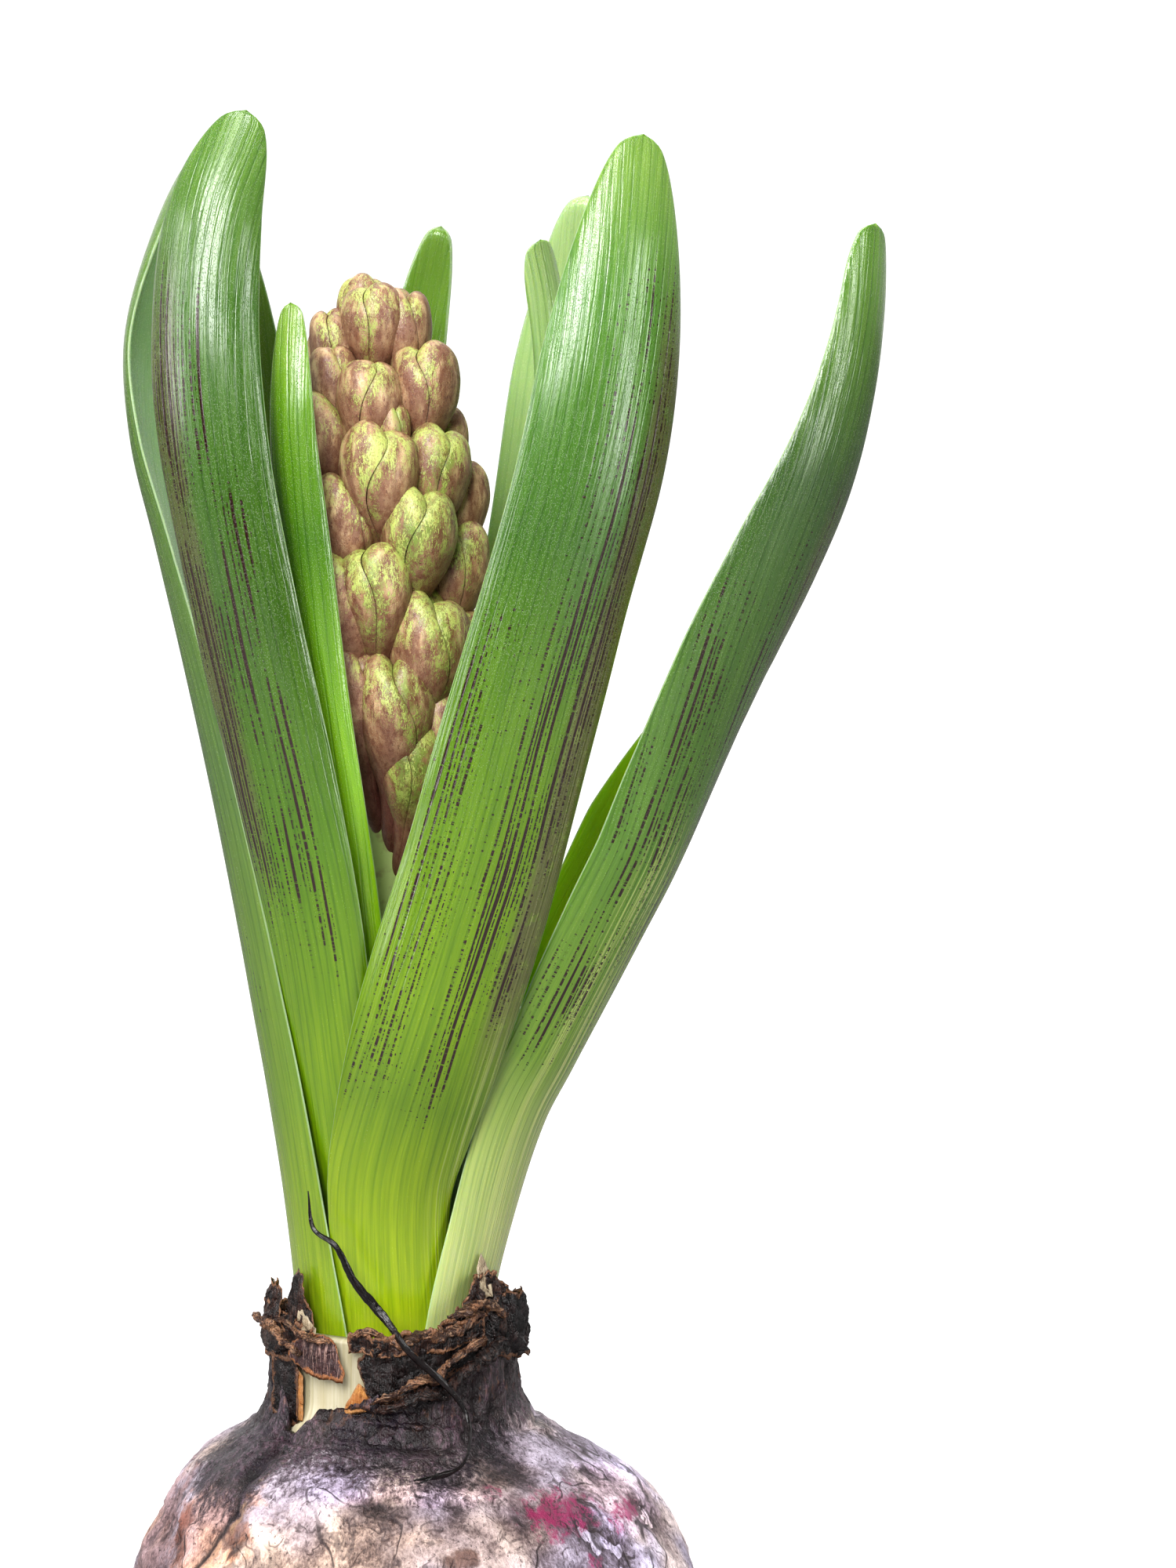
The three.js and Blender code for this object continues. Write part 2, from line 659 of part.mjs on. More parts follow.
/** A closed bud: a narrow tube that swells into three lobes and closes in a blunt hood. */
function bud(row, azimuth, turn) {
  const angle = radians(azimuth);
  const outward = new THREE.Vector3(Math.cos(angle), Math.sin(angle), 0);
  const tipHeight = row.tip - (ROW_TILT * Math.cos(angle) * row.spread) / 7;
  const length = BUD_LENGTH * row.size;
  const foot = tipHeight - length;
  // Radius of the bud at fractions of its length, and how far out its middle stands there.
  const swell = [
    [0.1, 0.34], [0.32, 0.46], [0.55, 0.9], [0.74, 1.0], [0.89, 0.8], [0.97, 0.42],
  ];
  const middleAt = (t) => {
    const height = foot + t * length;
    const out = lerp(1.6, row.spread, 1 - (1 - t) ** 2.2);
    return outward.clone().multiplyScalar(out).setZ(height).setX(outward.x * out + stalkX(height));
  };
  const rings = swell.map(([t, radius]) =>
    Array.from({ length: BUD_SIDES }, (_, side) => {
      const round = (2 * Math.PI * side) / BUD_SIDES;
      const lobes = 1 + 0.07 * Math.cos(3 * (round + turn));
      const reach = BUD_RADIUS * row.size * radius * lobes;
      const point = middleAt(t);
      point.addScaledVector(outward, reach * Math.cos(round));
      point.x += -outward.y * reach * Math.sin(round);
      point.y += outward.x * reach * Math.sin(round);
      return point;
    }),
  );
  return ringedSolid(rings, middleAt(0), middleAt(1));
}

/** The stalk and every bud on it as one grown piece. */
function flowerSpike() {
  const levels = [LEAF_FOOT, 90, SPIKE_FOOT, 135, 152, SPIKE_TOP];
  const girth = [SCAPE_RADIUS, SCAPE_RADIUS, SCAPE_RADIUS, 4.6, 4.4, 2.6];
  const rings = levels.map((height, level) =>
    Array.from({ length: 10 }, (_, side) => {
      const angle = (2 * Math.PI * side) / 10;
      const x = stalkX(height) + girth[level] * Math.cos(angle);
      return new THREE.Vector3(x, girth[level] * Math.sin(angle), height);
    }),
  );
  const foot = new THREE.Vector3(NECK_X, 0, LEAF_FOOT);
  const top = new THREE.Vector3(stalkX(SPIKE_TOP), 0, SPIKE_TOP + 1);
  let spike = solidOf(ringedSolid(rings, foot, top));
  const random = seededRandom(11);
  for (const row of BUD_ROWS) {
    for (let index = 0; index < row.count; index++) {
      const azimuth = row.start + (360 * index) / row.count;
      spike = spike.add(solidOf(bud(row, azimuth, 2 * random())));
    }
  }
  return geometryOf(spike);
}

addPiece("flower_spike", flowerSpike(), 0x9a7a4a, 0.5);

// ---------------------------------------------------------------------------------------------
// A dried strand of old leaf that lies over the front of the neck
// ---------------------------------------------------------------------------------------------

const STRAND_ROUTE = [
  [-10.6, -10.2, 80.6], [-10.0, -10.6, 76.6], [-7.6, -12.2, 75.0], [-5.6, -12.4, 71.2],
  [-2.2, -13.2, 67.2], [0.4, -15.9, 64.2], [4.2, -15.4, 60.6], [6.4, -14.2, 57.2],
  [6.8, -16.4, 54.6], [6.2, -18.6, 52.8], [4.6, -20.2, 52.0], [1.0, -21.4, 51.6],
];
const STRAND_STEPS = 26;
const STRAND_WIDTH = 0.55; // half of its broad side
const STRAND_DEPTH = 0.34; // half of its narrow side

/** A thin flattened strand along its route. */
function driedStrand() {
  const route = new THREE.CatmullRomCurve3(STRAND_ROUTE.map((point) => new THREE.Vector3(...point)));
  const section = new THREE.Shape();
  section.absellipse(0, 0, STRAND_DEPTH, STRAND_WIDTH, 0, 2 * Math.PI);
  return new THREE.ExtrudeGeometry(section, {
    steps: STRAND_STEPS,
    curveSegments: 3,
    extrudePath: route,
  });
}

addPiece("dried_strand", driedStrand(), 0x1a1210, 0.3);

export default plant;
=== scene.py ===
"""A hyacinth in tight bud on its bulb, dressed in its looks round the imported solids.

Lengths in the classes are millimetres, as on the plant, and turn into metres when a mesh is finished.
Azimuths are degrees, counter-clockwise from +X, so -90 is the front.
"""

import logging
import math
import random
from collections.abc import Sequence
from dataclasses import dataclass
from enum import Enum

import bmesh
import bpy
from mathutils import Matrix, Vector, noise


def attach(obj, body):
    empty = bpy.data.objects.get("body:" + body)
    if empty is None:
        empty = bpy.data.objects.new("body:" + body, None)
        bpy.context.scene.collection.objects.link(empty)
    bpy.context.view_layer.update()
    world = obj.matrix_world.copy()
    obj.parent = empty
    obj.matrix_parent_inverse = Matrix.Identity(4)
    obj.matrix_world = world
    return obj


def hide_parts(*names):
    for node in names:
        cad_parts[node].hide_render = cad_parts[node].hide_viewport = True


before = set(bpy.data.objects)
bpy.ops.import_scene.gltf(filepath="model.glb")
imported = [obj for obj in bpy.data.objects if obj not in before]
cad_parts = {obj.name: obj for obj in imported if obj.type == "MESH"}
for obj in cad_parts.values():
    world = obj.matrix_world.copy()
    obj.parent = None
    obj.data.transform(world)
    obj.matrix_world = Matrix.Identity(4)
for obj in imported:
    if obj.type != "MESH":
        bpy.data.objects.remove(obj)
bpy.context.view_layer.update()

BODY = "root"
METRES = 0.001  # one millimetre
FOLD_SEED = 1795547604  # for the noise that bends the folds, which the clock would seed otherwise

log = logging.getLogger("hyacinth")

BMesh = bmesh.types.BMesh
Group = bpy.types.NodeTree
Material = bpy.types.Material
Colour = tuple[float, float, float]
Point = tuple[float, float, float]
Pairs = tuple[tuple[float, float], ...]
Stops = tuple[tuple[float, Colour], ...]


class Slot(Enum):
    """The record's material slots."""

    LEAF = "leaf"
    BUD = "bud"
    FLESH = "bulb_flesh"
    TUNIC = "tunic"
    SCRAP = "dry_scrap"
    ROOT = "root_plate"


# ---------- Curves and numbers ----------


def lerp(low: float, high: float, share: float) -> float:
    """The value a share of the way from low to high."""
    return low + (high - low) * share


def smoothstep(value: float, low: float, high: float) -> float:
    """0 below low, 1 above high, and a smooth rise between them."""
    share = min(max((value - low) / (high - low), 0.0), 1.0)
    return share * share * (3 - 2 * share)


def between(value: float, low: float, rise: float, fall: float, high: float) -> float:
    """1 from rise to fall, 0 below low and above high, with smooth edges."""
    return smoothstep(value, low, rise) * (1 - smoothstep(value, fall, high))


def through(values: Sequence[float], share: float) -> float:
    """Reads a smooth line through equally spaced values.

    Args:
        values: the values that the line runs through.
        share: the place on it, from 0 to 1.

    Returns:
        The value there.
    """
    last = len(values) - 1
    place = min(max(share, 0.0), 1.0) * last
    index = min(int(place), last - 1)
    t = place - index
    before, start = values[max(index - 1, 0)], values[index]
    end, after = values[index + 1], values[min(index + 2, last)]
    leave, arrive = (end - before) / 2, (after - start) / 2
    cubic = 2 * start - 2 * end + leave + arrive
    square = 3 * end - 3 * start - 2 * leave - arrive
    return start + t * (leave + t * (square + t * cubic))


def stepped(pairs: Pairs, x: float) -> float:
    """Reads a straight-sided line.

    Args:
        pairs: its corners as (x, value), in rising x.
        x: where it is read.

    Returns:
        The value there.
    """
    if x <= pairs[0][0]:
        return pairs[0][1]
    for (x0, v0), (x1, v1) in zip(pairs, pairs[1:]):
        if x <= x1:
            return lerp(v0, v1, (x - x0) / (x1 - x0))
    return pairs[-1][1]


def cloud(point: Vector, size: float, seed: float = 0.0) -> float:
    """Smooth noise from about -1 to 1 whose lumps are about size across."""
    return noise.noise(point / size + Vector((seed, 1.7 * seed, -seed)))


def crumple(point: Vector, size: float, seed: float = 0.0) -> float:
    """Crumpled paper: soft hollows between bent sharp folds.

    Args:
        point: where it is read.
        size: about how wide a hollow is.
        seed: a number that shifts the pattern.

    Returns:
        The height there, from about -1 to 1.
    """
    spot = point / size + Vector((seed, -seed, 2.3 * seed))
    spot = spot + 0.5 * noise.noise_vector(0.8 * spot)
    folds = 0.62 - 2.6 * abs(noise.noise(0.7 * spot))
    small_folds = 0.45 * abs(noise.noise(1.7 * spot + Vector((9.1, 0.0, 0.0))))
    return folds + small_folds + 0.3 * noise.noise(0.45 * spot)


class Spine:
    """A smooth line through points, read by the share of its length."""

    STEPS = 24  # straight pieces between two points

    def __init__(self, points: Sequence[Vector]) -> None:
        """Measures the line.

        Args:
            points: the points that the line runs through, from its foot to its tip.
        """
        ends = [2 * points[0] - points[1], *points, 2 * points[-1] - points[-2]]
        self.line: list[Vector] = []
        for four in zip(ends, ends[1:], ends[2:], ends[3:]):
            self.line.extend(self._span(four, step / self.STEPS) for step in range(self.STEPS))
        self.line.append(points[-1].copy())
        self.reach = [0.0]
        for a, b in zip(self.line, self.line[1:]):
            self.reach.append(self.reach[-1] + (b - a).length)

    @staticmethod
    def _span(four: Sequence[Vector], t: float) -> Vector:
        """Reads the centripetal curve between the middle two of four points.

        Args:
            four: the points.
            t: the share of the way from the second to the third.

        Returns:
            The point there.
        """
        before, start, end, after = four
        gaps = [math.sqrt((b - a).length) for a, b in zip(four, four[1:])]
        leave = (start - before) / gaps[0] - (end - before) / (gaps[0] + gaps[1]) + (end - start) / gaps[1]
        arrive = (end - start) / gaps[1] - (after - start) / (gaps[1] + gaps[2]) + (after - end) / gaps[2]
        leave, arrive = leave * gaps[1], arrive * gaps[1]
        cubic = 2 * start - 2 * end + leave + arrive
        square = 3 * end - 3 * start - 2 * leave - arrive
        return start + t * (leave + t * (square + t * cubic))

    @property
    def length(self) -> float:
        """The length of the whole line."""
        return self.reach[-1]

    def at(self, share: float) -> tuple[Vector, Vector]:
        """Reads the line.

        Args:
            share: how far along the line, from 0 to 1.

        Returns:
            The point there and the direction that the line runs in.
        """
        goal = min(max(share, 0.0), 1.0) * self.length
        low, high = 0, len(self.reach) - 1
        while high - low > 1:
            middle = (low + high) // 2
            if self.reach[middle] <= goal:
                low = middle
            else:
                high = middle
        a, b = self.line[low], self.line[high]
        t = (goal - self.reach[low]) / (self.reach[high] - self.reach[low])
        before, after = self.line[max(low - 1, 0)], self.line[min(high + 1, len(self.line) - 1)]
        direction = (b - before).normalized().lerp((after - a).normalized(), t)
        return a.lerp(b, t), direction.normalized()


# ---------- The plant's shared measures ----------

GAP = 0.35  # air between pieces that touch on the plant
NECK_FOOT = 53.2  # height at which the neck begins
NECK_X = -1.9  # the neck stands a little to the left of the bulb's middle
NECK_RADIUS = 13.9
LEAN_START = 43.0  # height at which the bulb's middle starts to move over to the neck's
SOCKET_FLOOR = 49.0  # the leaf bases stand on it
LEAF_FOOT = SOCKET_FLOOR + GAP
LEAF_RINGS = (10.4, 8.4, 6.4, 4.6)  # outer radius of each layer of leaf bases in the neck
RIM_ARC = 0.24  # length of one degree round the neck
NECK_MIDDLE = 14  # radius at which the scraps' lengths are measured
MERGE = 1e-4  # points closer together than this become one


def middle_x(height: float) -> float:
    """X of the plant's middle line at a height: 0 in the bulb, NECK_X in the neck."""
    return NECK_X * smoothstep(height, LEAN_START, NECK_FOOT)


def around(azimuth: float, radius: float, height: float) -> Vector:
    """A point at an azimuth and radius from the plant's middle line."""
    angle = math.radians(azimuth)
    return Vector((middle_x(height) + radius * math.cos(angle), radius * math.sin(angle), height))


# ---------- Shader nodes ----------

Socket = bpy.types.NodeSocket
Value = float | Sequence[float] | Socket


class Nodes:
    """Plain calls that add shader nodes to one tree and give back their output sockets."""

    def __init__(self, tree: Group) -> None:
        """Works on a node tree."""
        self.tree = tree

    def give(self, socket: Socket, value: Value) -> None:
        """Links a socket to another, or sets its number or colour.

        Args:
            socket: the input.
            value: what it gets.
        """
        if isinstance(value, bpy.types.NodeSocket):
            self.tree.links.new(value, socket)
        elif socket.type == "RGBA" and not isinstance(value, (int, float)):
            socket.default_value = (*value[:3], 1.0)
        else:
            socket.default_value = value

    def add(self, kind: str, inputs: dict[str | int, Value], **settings: object) -> bpy.types.Node:
        """Adds one node.

        Args:
            kind: the node's type.
            inputs: values or sockets for its inputs, by name or place.
            settings: the node's own settings.

        Returns:
            The new node.
        """
        node = self.tree.nodes.new(kind)
        for name, value in settings.items():
            setattr(node, name, value)
        for name, value in inputs.items():
            self.give(node.inputs[name], value)
        return node

    def math(self, operation: str, a: Value, b: Value = 0.0, c: Value = 0.0) -> Socket:
        """One step of arithmetic."""
        return self.add("ShaderNodeMath", {0: a, 1: b, 2: c}, operation=operation).outputs[0]

    def plus(self, a: Value, b: Value) -> Socket:
        """One value added to another."""
        return self.math("ADD", a, b)

    def minus(self, a: Value, b: Value) -> Socket:
        """One value taken from another."""
        return self.math("SUBTRACT", a, b)

    def over(self, a: Value, b: Value) -> Socket:
        """One value divided by another."""
        return self.math("DIVIDE", a, b)

    def raised(self, base: Value, value: Value, factor: Value) -> Socket:
        """A base with a value times a factor added to it."""
        return self.math("MULTIPLY_ADD", value, factor, base)

    def swung(self, base: Value, noise: Value, swing: Value) -> Socket:
        """A base that noise from 0 to 1 moves down and up by half the swing."""
        return self.raised(base, self.minus(noise, 0.5), swing)

    def off(self, value: Value, middle: float) -> Socket:
        """How far a value is from a middle one, either way."""
        return self.math("ABSOLUTE", self.minus(value, middle))

    def product(self, *values: Value) -> Socket:
        """All the values multiplied together."""
        result = values[0]
        for value in values[1:]:
            result = self.math("MULTIPLY", result, value)
        return result

    def rise(
        self, value: Value, low: Value, high: Value, to_low: Value = 0.0, to_high: Value = 1.0
    ) -> Socket:
        """A smooth step from to_low at low to to_high at high."""
        inputs = {"Value": value, "From Min": low, "From Max": high, "To Min": to_low, "To Max": to_high}
        return self.add("ShaderNodeMapRange", inputs, interpolation_type="SMOOTHSTEP").outputs[0]

    def mix(self, share: Value, a: Value, b: Value, blend: str = "MIX") -> Socket:
        """Two colours mixed."""
        node = self.add("ShaderNodeMix", {}, data_type="RGBA", blend_type=blend)
        for place, value in ((0, share), (6, a), (7, b)):
            self.give(node.inputs[place], value)
        return node.outputs[2]

    def shaded(self, colour: Value, tint: Value) -> Socket:
        """A colour multiplied by a tint."""
        return self.mix(1.0, colour, tint, "MULTIPLY")

    def tinted(self, share: Value, colour: Value, tint: Value) -> Socket:
        """A colour that is multiplied by a tint where the share is 1."""
        return self.mix(share, colour, self.shaded(colour, tint))

    def ramp(self, value: Value, stops: Stops) -> Socket:
        """A colour ramp.

        Args:
            value: the place on the ramp.
            stops: its colours as (place, colour).

        Returns:
            The colour there.
        """
        node = self.add("ShaderNodeValToRGB", {0: value})
        elements = node.color_ramp.elements
        for _ in stops[2:]:
            elements.new(0.5)
        for element, (place, colour) in zip(elements, stops):
            element.position = place
            element.color = (*colour, 1.0)
        return node.outputs[0]

    def vector(self, x: Value, y: Value, z: Value = 0.0) -> Socket:
        """Three numbers as a vector."""
        return self.add("ShaderNodeCombineXYZ", {0: x, 1: y, 2: z}).outputs[0]

    def split(self, vector: Value) -> tuple[Socket, Socket, Socket]:
        """A vector's three numbers."""
        outputs = self.add("ShaderNodeSeparateXYZ", {0: vector}).outputs
        return outputs[0], outputs[1], outputs[2]

    def vectors(self, operation: str, a: Value, b: Value = (0.0, 0.0, 0.0)) -> bpy.types.Node:
        """One step of arithmetic with vectors."""
        return self.add("ShaderNodeVectorMath", {0: a, 1: b}, operation=operation)

    def scaled(self, vector: Value, factors: Value) -> Socket:
        """A vector multiplied by another, number by number."""
        return self.vectors("MULTIPLY", vector, factors).outputs[0]

    def noise(
        self, vector: Value, scale: Value, detail: float = 2.0, rough: float = 0.5, twist: float = 0.0
    ) -> Socket:
        """Smooth noise from 0 to 1, swirled by the twist."""
        inputs = {"Vector": vector, "Scale": scale, "Detail": detail, "Roughness": rough, "Distortion": twist}
        return self.add("ShaderNodeTexNoise", inputs).outputs[0]

    def attribute(self, name: str) -> Socket:
        """A vector kept on the mesh's points."""
        return self.add("ShaderNodeAttribute", {}, attribute_name=name).outputs["Vector"]

    def place_mm(self) -> Socket:
        """The place on the object, in millimetres."""
        place = self.add("ShaderNodeTexCoord", {}).outputs["Object"]
        return self.scaled(place, (1 / METRES,) * 3)

    def use(self, group: Group, **inputs: Value) -> Socket:
        """Places a shared effect and gives back its first output."""
        node = self.add("ShaderNodeGroup", {}, node_tree=group)
        for name, value in inputs.items():
            self.give(node.inputs[name.replace("_", " ").title()], value)
        return node.outputs[0]

    def bump(
        self, height: Value, distance: float, strength: float = 1.0, normal: Value | None = None
    ) -> Socket:
        """A bump as deep as distance, in millimetres, on top of another normal."""
        inputs = {"Height": height, "Distance": distance * METRES, "Strength": strength}
        if normal is not None:
            inputs["Normal"] = normal
        return self.add("ShaderNodeBump", inputs).outputs[0]


class Effect(Nodes):
    """A shader node group with named inputs and one output, built once and used by many finishes."""

    def __init__(self, name: str, inputs: dict[str, float | tuple], output: str) -> None:
        """Makes the empty group.

        Args:
            name: the group's name.
            inputs: each input's name and value to start with; three numbers make a vector.
            output: the name of what it gives.
        """
        self.group = bpy.data.node_groups.new(name, "ShaderNodeTree")
        super().__init__(self.group)
        for label, start in inputs.items():
            kind = "NodeSocketVector" if isinstance(start, tuple) else "NodeSocketFloat"
            self.group.interface.new_socket(label, in_out="INPUT", socket_type=kind).default_value = start
        self.group.interface.new_socket(output, in_out="OUTPUT", socket_type="NodeSocketFloat")
        self.entry = self.group.nodes.new("NodeGroupInput")
        self.exit = self.group.nodes.new("NodeGroupOutput")

    def input(self, name: str) -> Socket:
        """One of the group's inputs."""
        return self.entry.outputs[name]

    def done(self, value: Socket) -> Group:
        """Puts out the value and closes the group."""
        self.give(self.exit.inputs[0], value)
        return self.group


class Effects:
    """The effects that the finishes share."""

    def __init__(self) -> None:
        """Builds every group."""
        self.lines = self._lines()
        self.row = self._row()
        self.vein = self._vein()
        self.dots = self._dots()
        self.specks = self._specks()
        self.patch = self._patch()
        self.mottle = self._mottle()
        self.creases = self._creases()

    @staticmethod
    def _lines() -> Group:
        """Fine lines that run along a blade or a skin."""
        inputs = {"Across": 0.0, "Along": 0.0, "Spacing": 0.5, "Length": 30.0, "Seed": 0.0}
        e = Effect("running_lines", inputs, "Lines")
        x = e.over(e.input("Across"), e.input("Spacing"))
        y = e.over(e.input("Along"), e.input("Length"))
        grain = e.noise(e.vector(x, y, e.input("Seed")), 1.0, detail=2.0, rough=0.6)
        return e.done(e.rise(grain, 0.3, 0.7))

    @staticmethod
    def _row() -> Group:
        """Numbers the rows that run along a blade; the fraction tells how far across its row a place is."""
        e = Effect("row_number", {"Across": 0.0, "Along": 0.0, "Spacing": 0.95}, "Row")
        spot = e.vector(e.product(e.input("Across"), 0.5), e.product(e.input("Along"), 0.05), 3.1)
        wander = e.noise(spot, 1.0, detail=1.0)
        return e.done(e.raised(e.over(e.input("Across"), e.input("Spacing")), wander, 0.9))

    @staticmethod
    def _vein() -> Group:
        """A thin line down the middle of every row."""
        e = Effect("row_line", {"Row": 0.0, "Width": 0.1}, "Line")
        off = e.off(e.math("FRACT", e.input("Row")), 0.5)
        width = e.input("Width")
        return e.done(e.rise(off, e.product(width, 0.4), e.product(width, 1.5), 1.0, 0.0))

    @staticmethod
    def _dots() -> Group:
        """Dots and short dashes down the middle of the rows, closer together where there is more fill."""
        inputs = {"Row": 0.0, "Along": 0.0, "Dash": 0.9, "Fill": 0.5, "Seed": 0.0}
        e = Effect("dotted_rows", inputs, "Dots")
        index = e.math("FLOOR", e.input("Row"))
        off = e.off(e.math("FRACT", e.input("Row")), 0.5)
        luck = e.add("ShaderNodeTexWhiteNoise", {"W": index}, noise_dimensions="1D").outputs["Value"]
        step = e.over(e.input("Along"), e.input("Dash"))
        place = e.vector(e.product(index, 5.37), step, e.input("Seed"))
        dash = e.noise(place, 1.0, detail=4.0, rough=0.8)
        fill = e.product(e.input("Fill"), e.raised(0.6, luck, 0.8))
        level = e.raised(0.75, fill, -0.27)
        dash = e.rise(dash, level, e.plus(level, 0.04))
        width = e.raised(0.04, fill, 0.08)
        line = e.rise(off, width, e.plus(width, 0.06), 1.0, 0.0)
        return e.done(e.product(dash, line))

    @staticmethod
    def _creases() -> Group:
        """0 in long bent creases that come and go, and 1 on the flats between them."""
        e = Effect("creases", {"Place": (0.0, 0.0, 0.0), "Size": 3.0, "Width": 0.02}, "Flats")
        scale = e.over(0.6, e.input("Size"))
        level = e.noise(e.input("Place"), scale, detail=2.0, rough=0.45, twist=0.6)
        flats = e.rise(e.off(level, 0.5), 0.0, e.input("Width"))
        weak = e.noise(e.input("Place"), e.product(scale, 1.3))
        return e.done(e.math("MAXIMUM", flats, e.rise(weak, 0.42, 0.58)))

    @staticmethod
    def _specks() -> Group:
        """Tiny round specks, scattered at random."""
        inputs = {"Place": (0.0, 0.0, 0.0), "Spacing": 0.4, "Size": 0.3, "Share": 0.5}
        e = Effect("tiny_specks", inputs, "Specks")
        scale = e.over(1.0, e.input("Spacing"))
        cells = e.add("ShaderNodeTexVoronoi", {"Vector": e.input("Place"), "Scale": scale}).outputs
        dot = e.rise(cells["Distance"], e.input("Size"), e.product(e.input("Size"), 0.5))
        chosen = e.math("LESS_THAN", e.split(cells["Color"])[0], e.input("Share"))
        return e.done(e.product(dot, chosen))

    @staticmethod
    def _patch() -> Group:
        """A patch with a ragged edge at one place of a skin."""
        inputs = {
            "Place": (0.0, 0.0, 0.0),
            "Centre": (0.0, 0.0, 0.0),
            "Reach": (10.0, 10.0, 10.0),
            "Ragged": 0.5,
            "Grain": 4.0,
            "Soft": 0.15,
        }
        e = Effect("ragged_patch", inputs, "Patch")
        away = e.vectors("SUBTRACT", e.input("Place"), e.input("Centre")).outputs[0]
        away = e.vectors("DIVIDE", away, e.input("Reach")).outputs[0]
        far = e.vectors("LENGTH", away).outputs["Value"]
        rag = e.noise(e.input("Place"), e.over(1.0, e.input("Grain")), detail=5.0, rough=0.6)
        edge = e.swung(far, rag, e.product(e.input("Ragged"), 2.0))
        return e.done(e.rise(edge, e.plus(1.0, e.input("Soft")), e.minus(1.0, e.input("Soft"))))

    @staticmethod
    def _mottle() -> Group:
        """Soft blotches whose edges break up into fine grain."""
        inputs = {"Place": (0.0, 0.0, 0.0), "Size": 3.0, "Amount": 0.5, "Grain": 0.35, "Seed": 0.0}
        e = Effect("mottle", inputs, "Blotches")
        shift = e.vector(e.input("Seed"), e.input("Seed"), e.input("Seed"))
        place = e.vectors("ADD", e.input("Place"), shift).outputs[0]
        scale = e.over(1.0, e.input("Size"))
        broad = e.noise(place, scale, detail=3.0, rough=0.55)
        fine = e.noise(place, e.product(scale, 9.0), detail=2.0, rough=0.7)
        value = e.swung(broad, fine, e.input("Grain"))
        level = e.minus(1.0, e.input("Amount"))
        return e.done(e.rise(value, e.minus(level, 0.07), e.plus(level, 0.07)))


class Surface(Nodes):
    """One material with a single Principled shader, opened for a finish to fill in."""

    def __init__(self, name: str) -> None:
        """Makes the material."""
        self.material = bpy.data.materials.new(name)
        self.material.use_nodes = True
        super().__init__(self.material.node_tree)
        self.shader = self.tree.nodes["Principled BSDF"]

    def set(self, **inputs: Value) -> Material:
        """Links or sets the shader's inputs.

        Args:
            inputs: the values by the inputs' names, in small letters with underscores.

        Returns:
            The material.
        """
        by_name = {socket.name.lower().replace(" ", "_"): socket for socket in self.shader.inputs}
        for name, value in inputs.items():
            self.give(by_name[name], value)
        return self.material


# ---------- Finishing a mesh ----------


def sheet(bm: BMesh, columns: int, rows: int) -> list[tuple[bmesh.types.BMVert, float, float]]:
    """Adds a flat sheet to a mesh.

    Args:
        bm: the mesh.
        columns: how many columns of faces it has.
        rows: how many rows.

    Returns:
        Its points, each with its shares of the way across and up, from 0 to 1.
    """
    verts = bmesh.ops.create_grid(bm, x_segments=columns, y_segments=rows, size=1.0)["verts"]
    return [(vert, (vert.co.x + 1) / 2, (vert.co.y + 1) / 2) for vert in verts]


def open_edges(bm: BMesh) -> list[bmesh.types.BMEdge]:
    """The edges round a mesh's openings."""
    return [edge for edge in bm.edges if edge.is_boundary]


def close_tube(bm: BMesh) -> None:
    """Joins the two sides of a rolled-up sheet and caps its ends."""
    bmesh.ops.remove_doubles(bm, verts=bm.verts, dist=MERGE)
    bmesh.ops.holes_fill(bm, edges=open_edges(bm), sides=0)


def add_object(name: str, data: bpy.types.ID) -> bpy.types.Object:
    """A new object in the scene that shows a mesh, a lamp or a camera."""
    item = bpy.data.objects.new(name, data)
    bpy.context.scene.collection.objects.link(item)
    return item


def finish_piece(
    name: str,
    bm: BMesh,
    material: Material,
    replaces: Sequence[str] = (),
) -> bpy.types.Object:
    """Turns a mesh drawn in millimetres into a piece of the plant.

    Args:
        name: the piece's name.
        bm: its mesh, which is freed.
        material: its finish.
        replaces: the solids that it stands for.

    Returns:
        The new object, at the origin and riding on the plant's body.
    """
    bmesh.ops.scale(bm, vec=(METRES,) * 3, verts=bm.verts)
    bmesh.ops.recalc_face_normals(bm, faces=bm.faces)
    mesh = bpy.data.meshes.new(name)
    bm.to_mesh(mesh)
    bm.free()
    mesh.materials.append(material)
    mesh.shade_smooth()
    piece = add_object(name, mesh)
    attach(piece, BODY)
    if replaces:
        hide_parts(*replaces)
    log.info("%s: %d faces", name, len(mesh.polygons))
    return piece


# ---------- Leaves ----------


@dataclass(frozen=True)
class Zone:
    """A soft-edged part of a blade: across from -1 to 1, along from 0 at the foot to 1 at the tip."""

    left: float
    right: float
    low: float
    high: float
    strength: float = 1.0
    soft: float = 0.12

    def mask(self, n: Nodes, across: Socket, along: Socket) -> Socket:
        """A value of strength inside the zone that falls to 0 outside it.

        Args:
            n: the calls that add nodes to the material.
            across: the place across the blade.
            along: the place along it.

        Returns:
            The value.
        """
        return n.product(
            n.rise(across, self.left - self.soft, self.left + self.soft),
            n.rise(across, self.right - self.soft, self.right + self.soft, 1.0, 0.0),
            n.rise(along, self.low - self.soft / 2, self.low + self.soft / 2),
            n.rise(along, self.high - self.soft / 2, self.high + self.soft / 2, 1.0, 0.0),
            self.strength,
        )


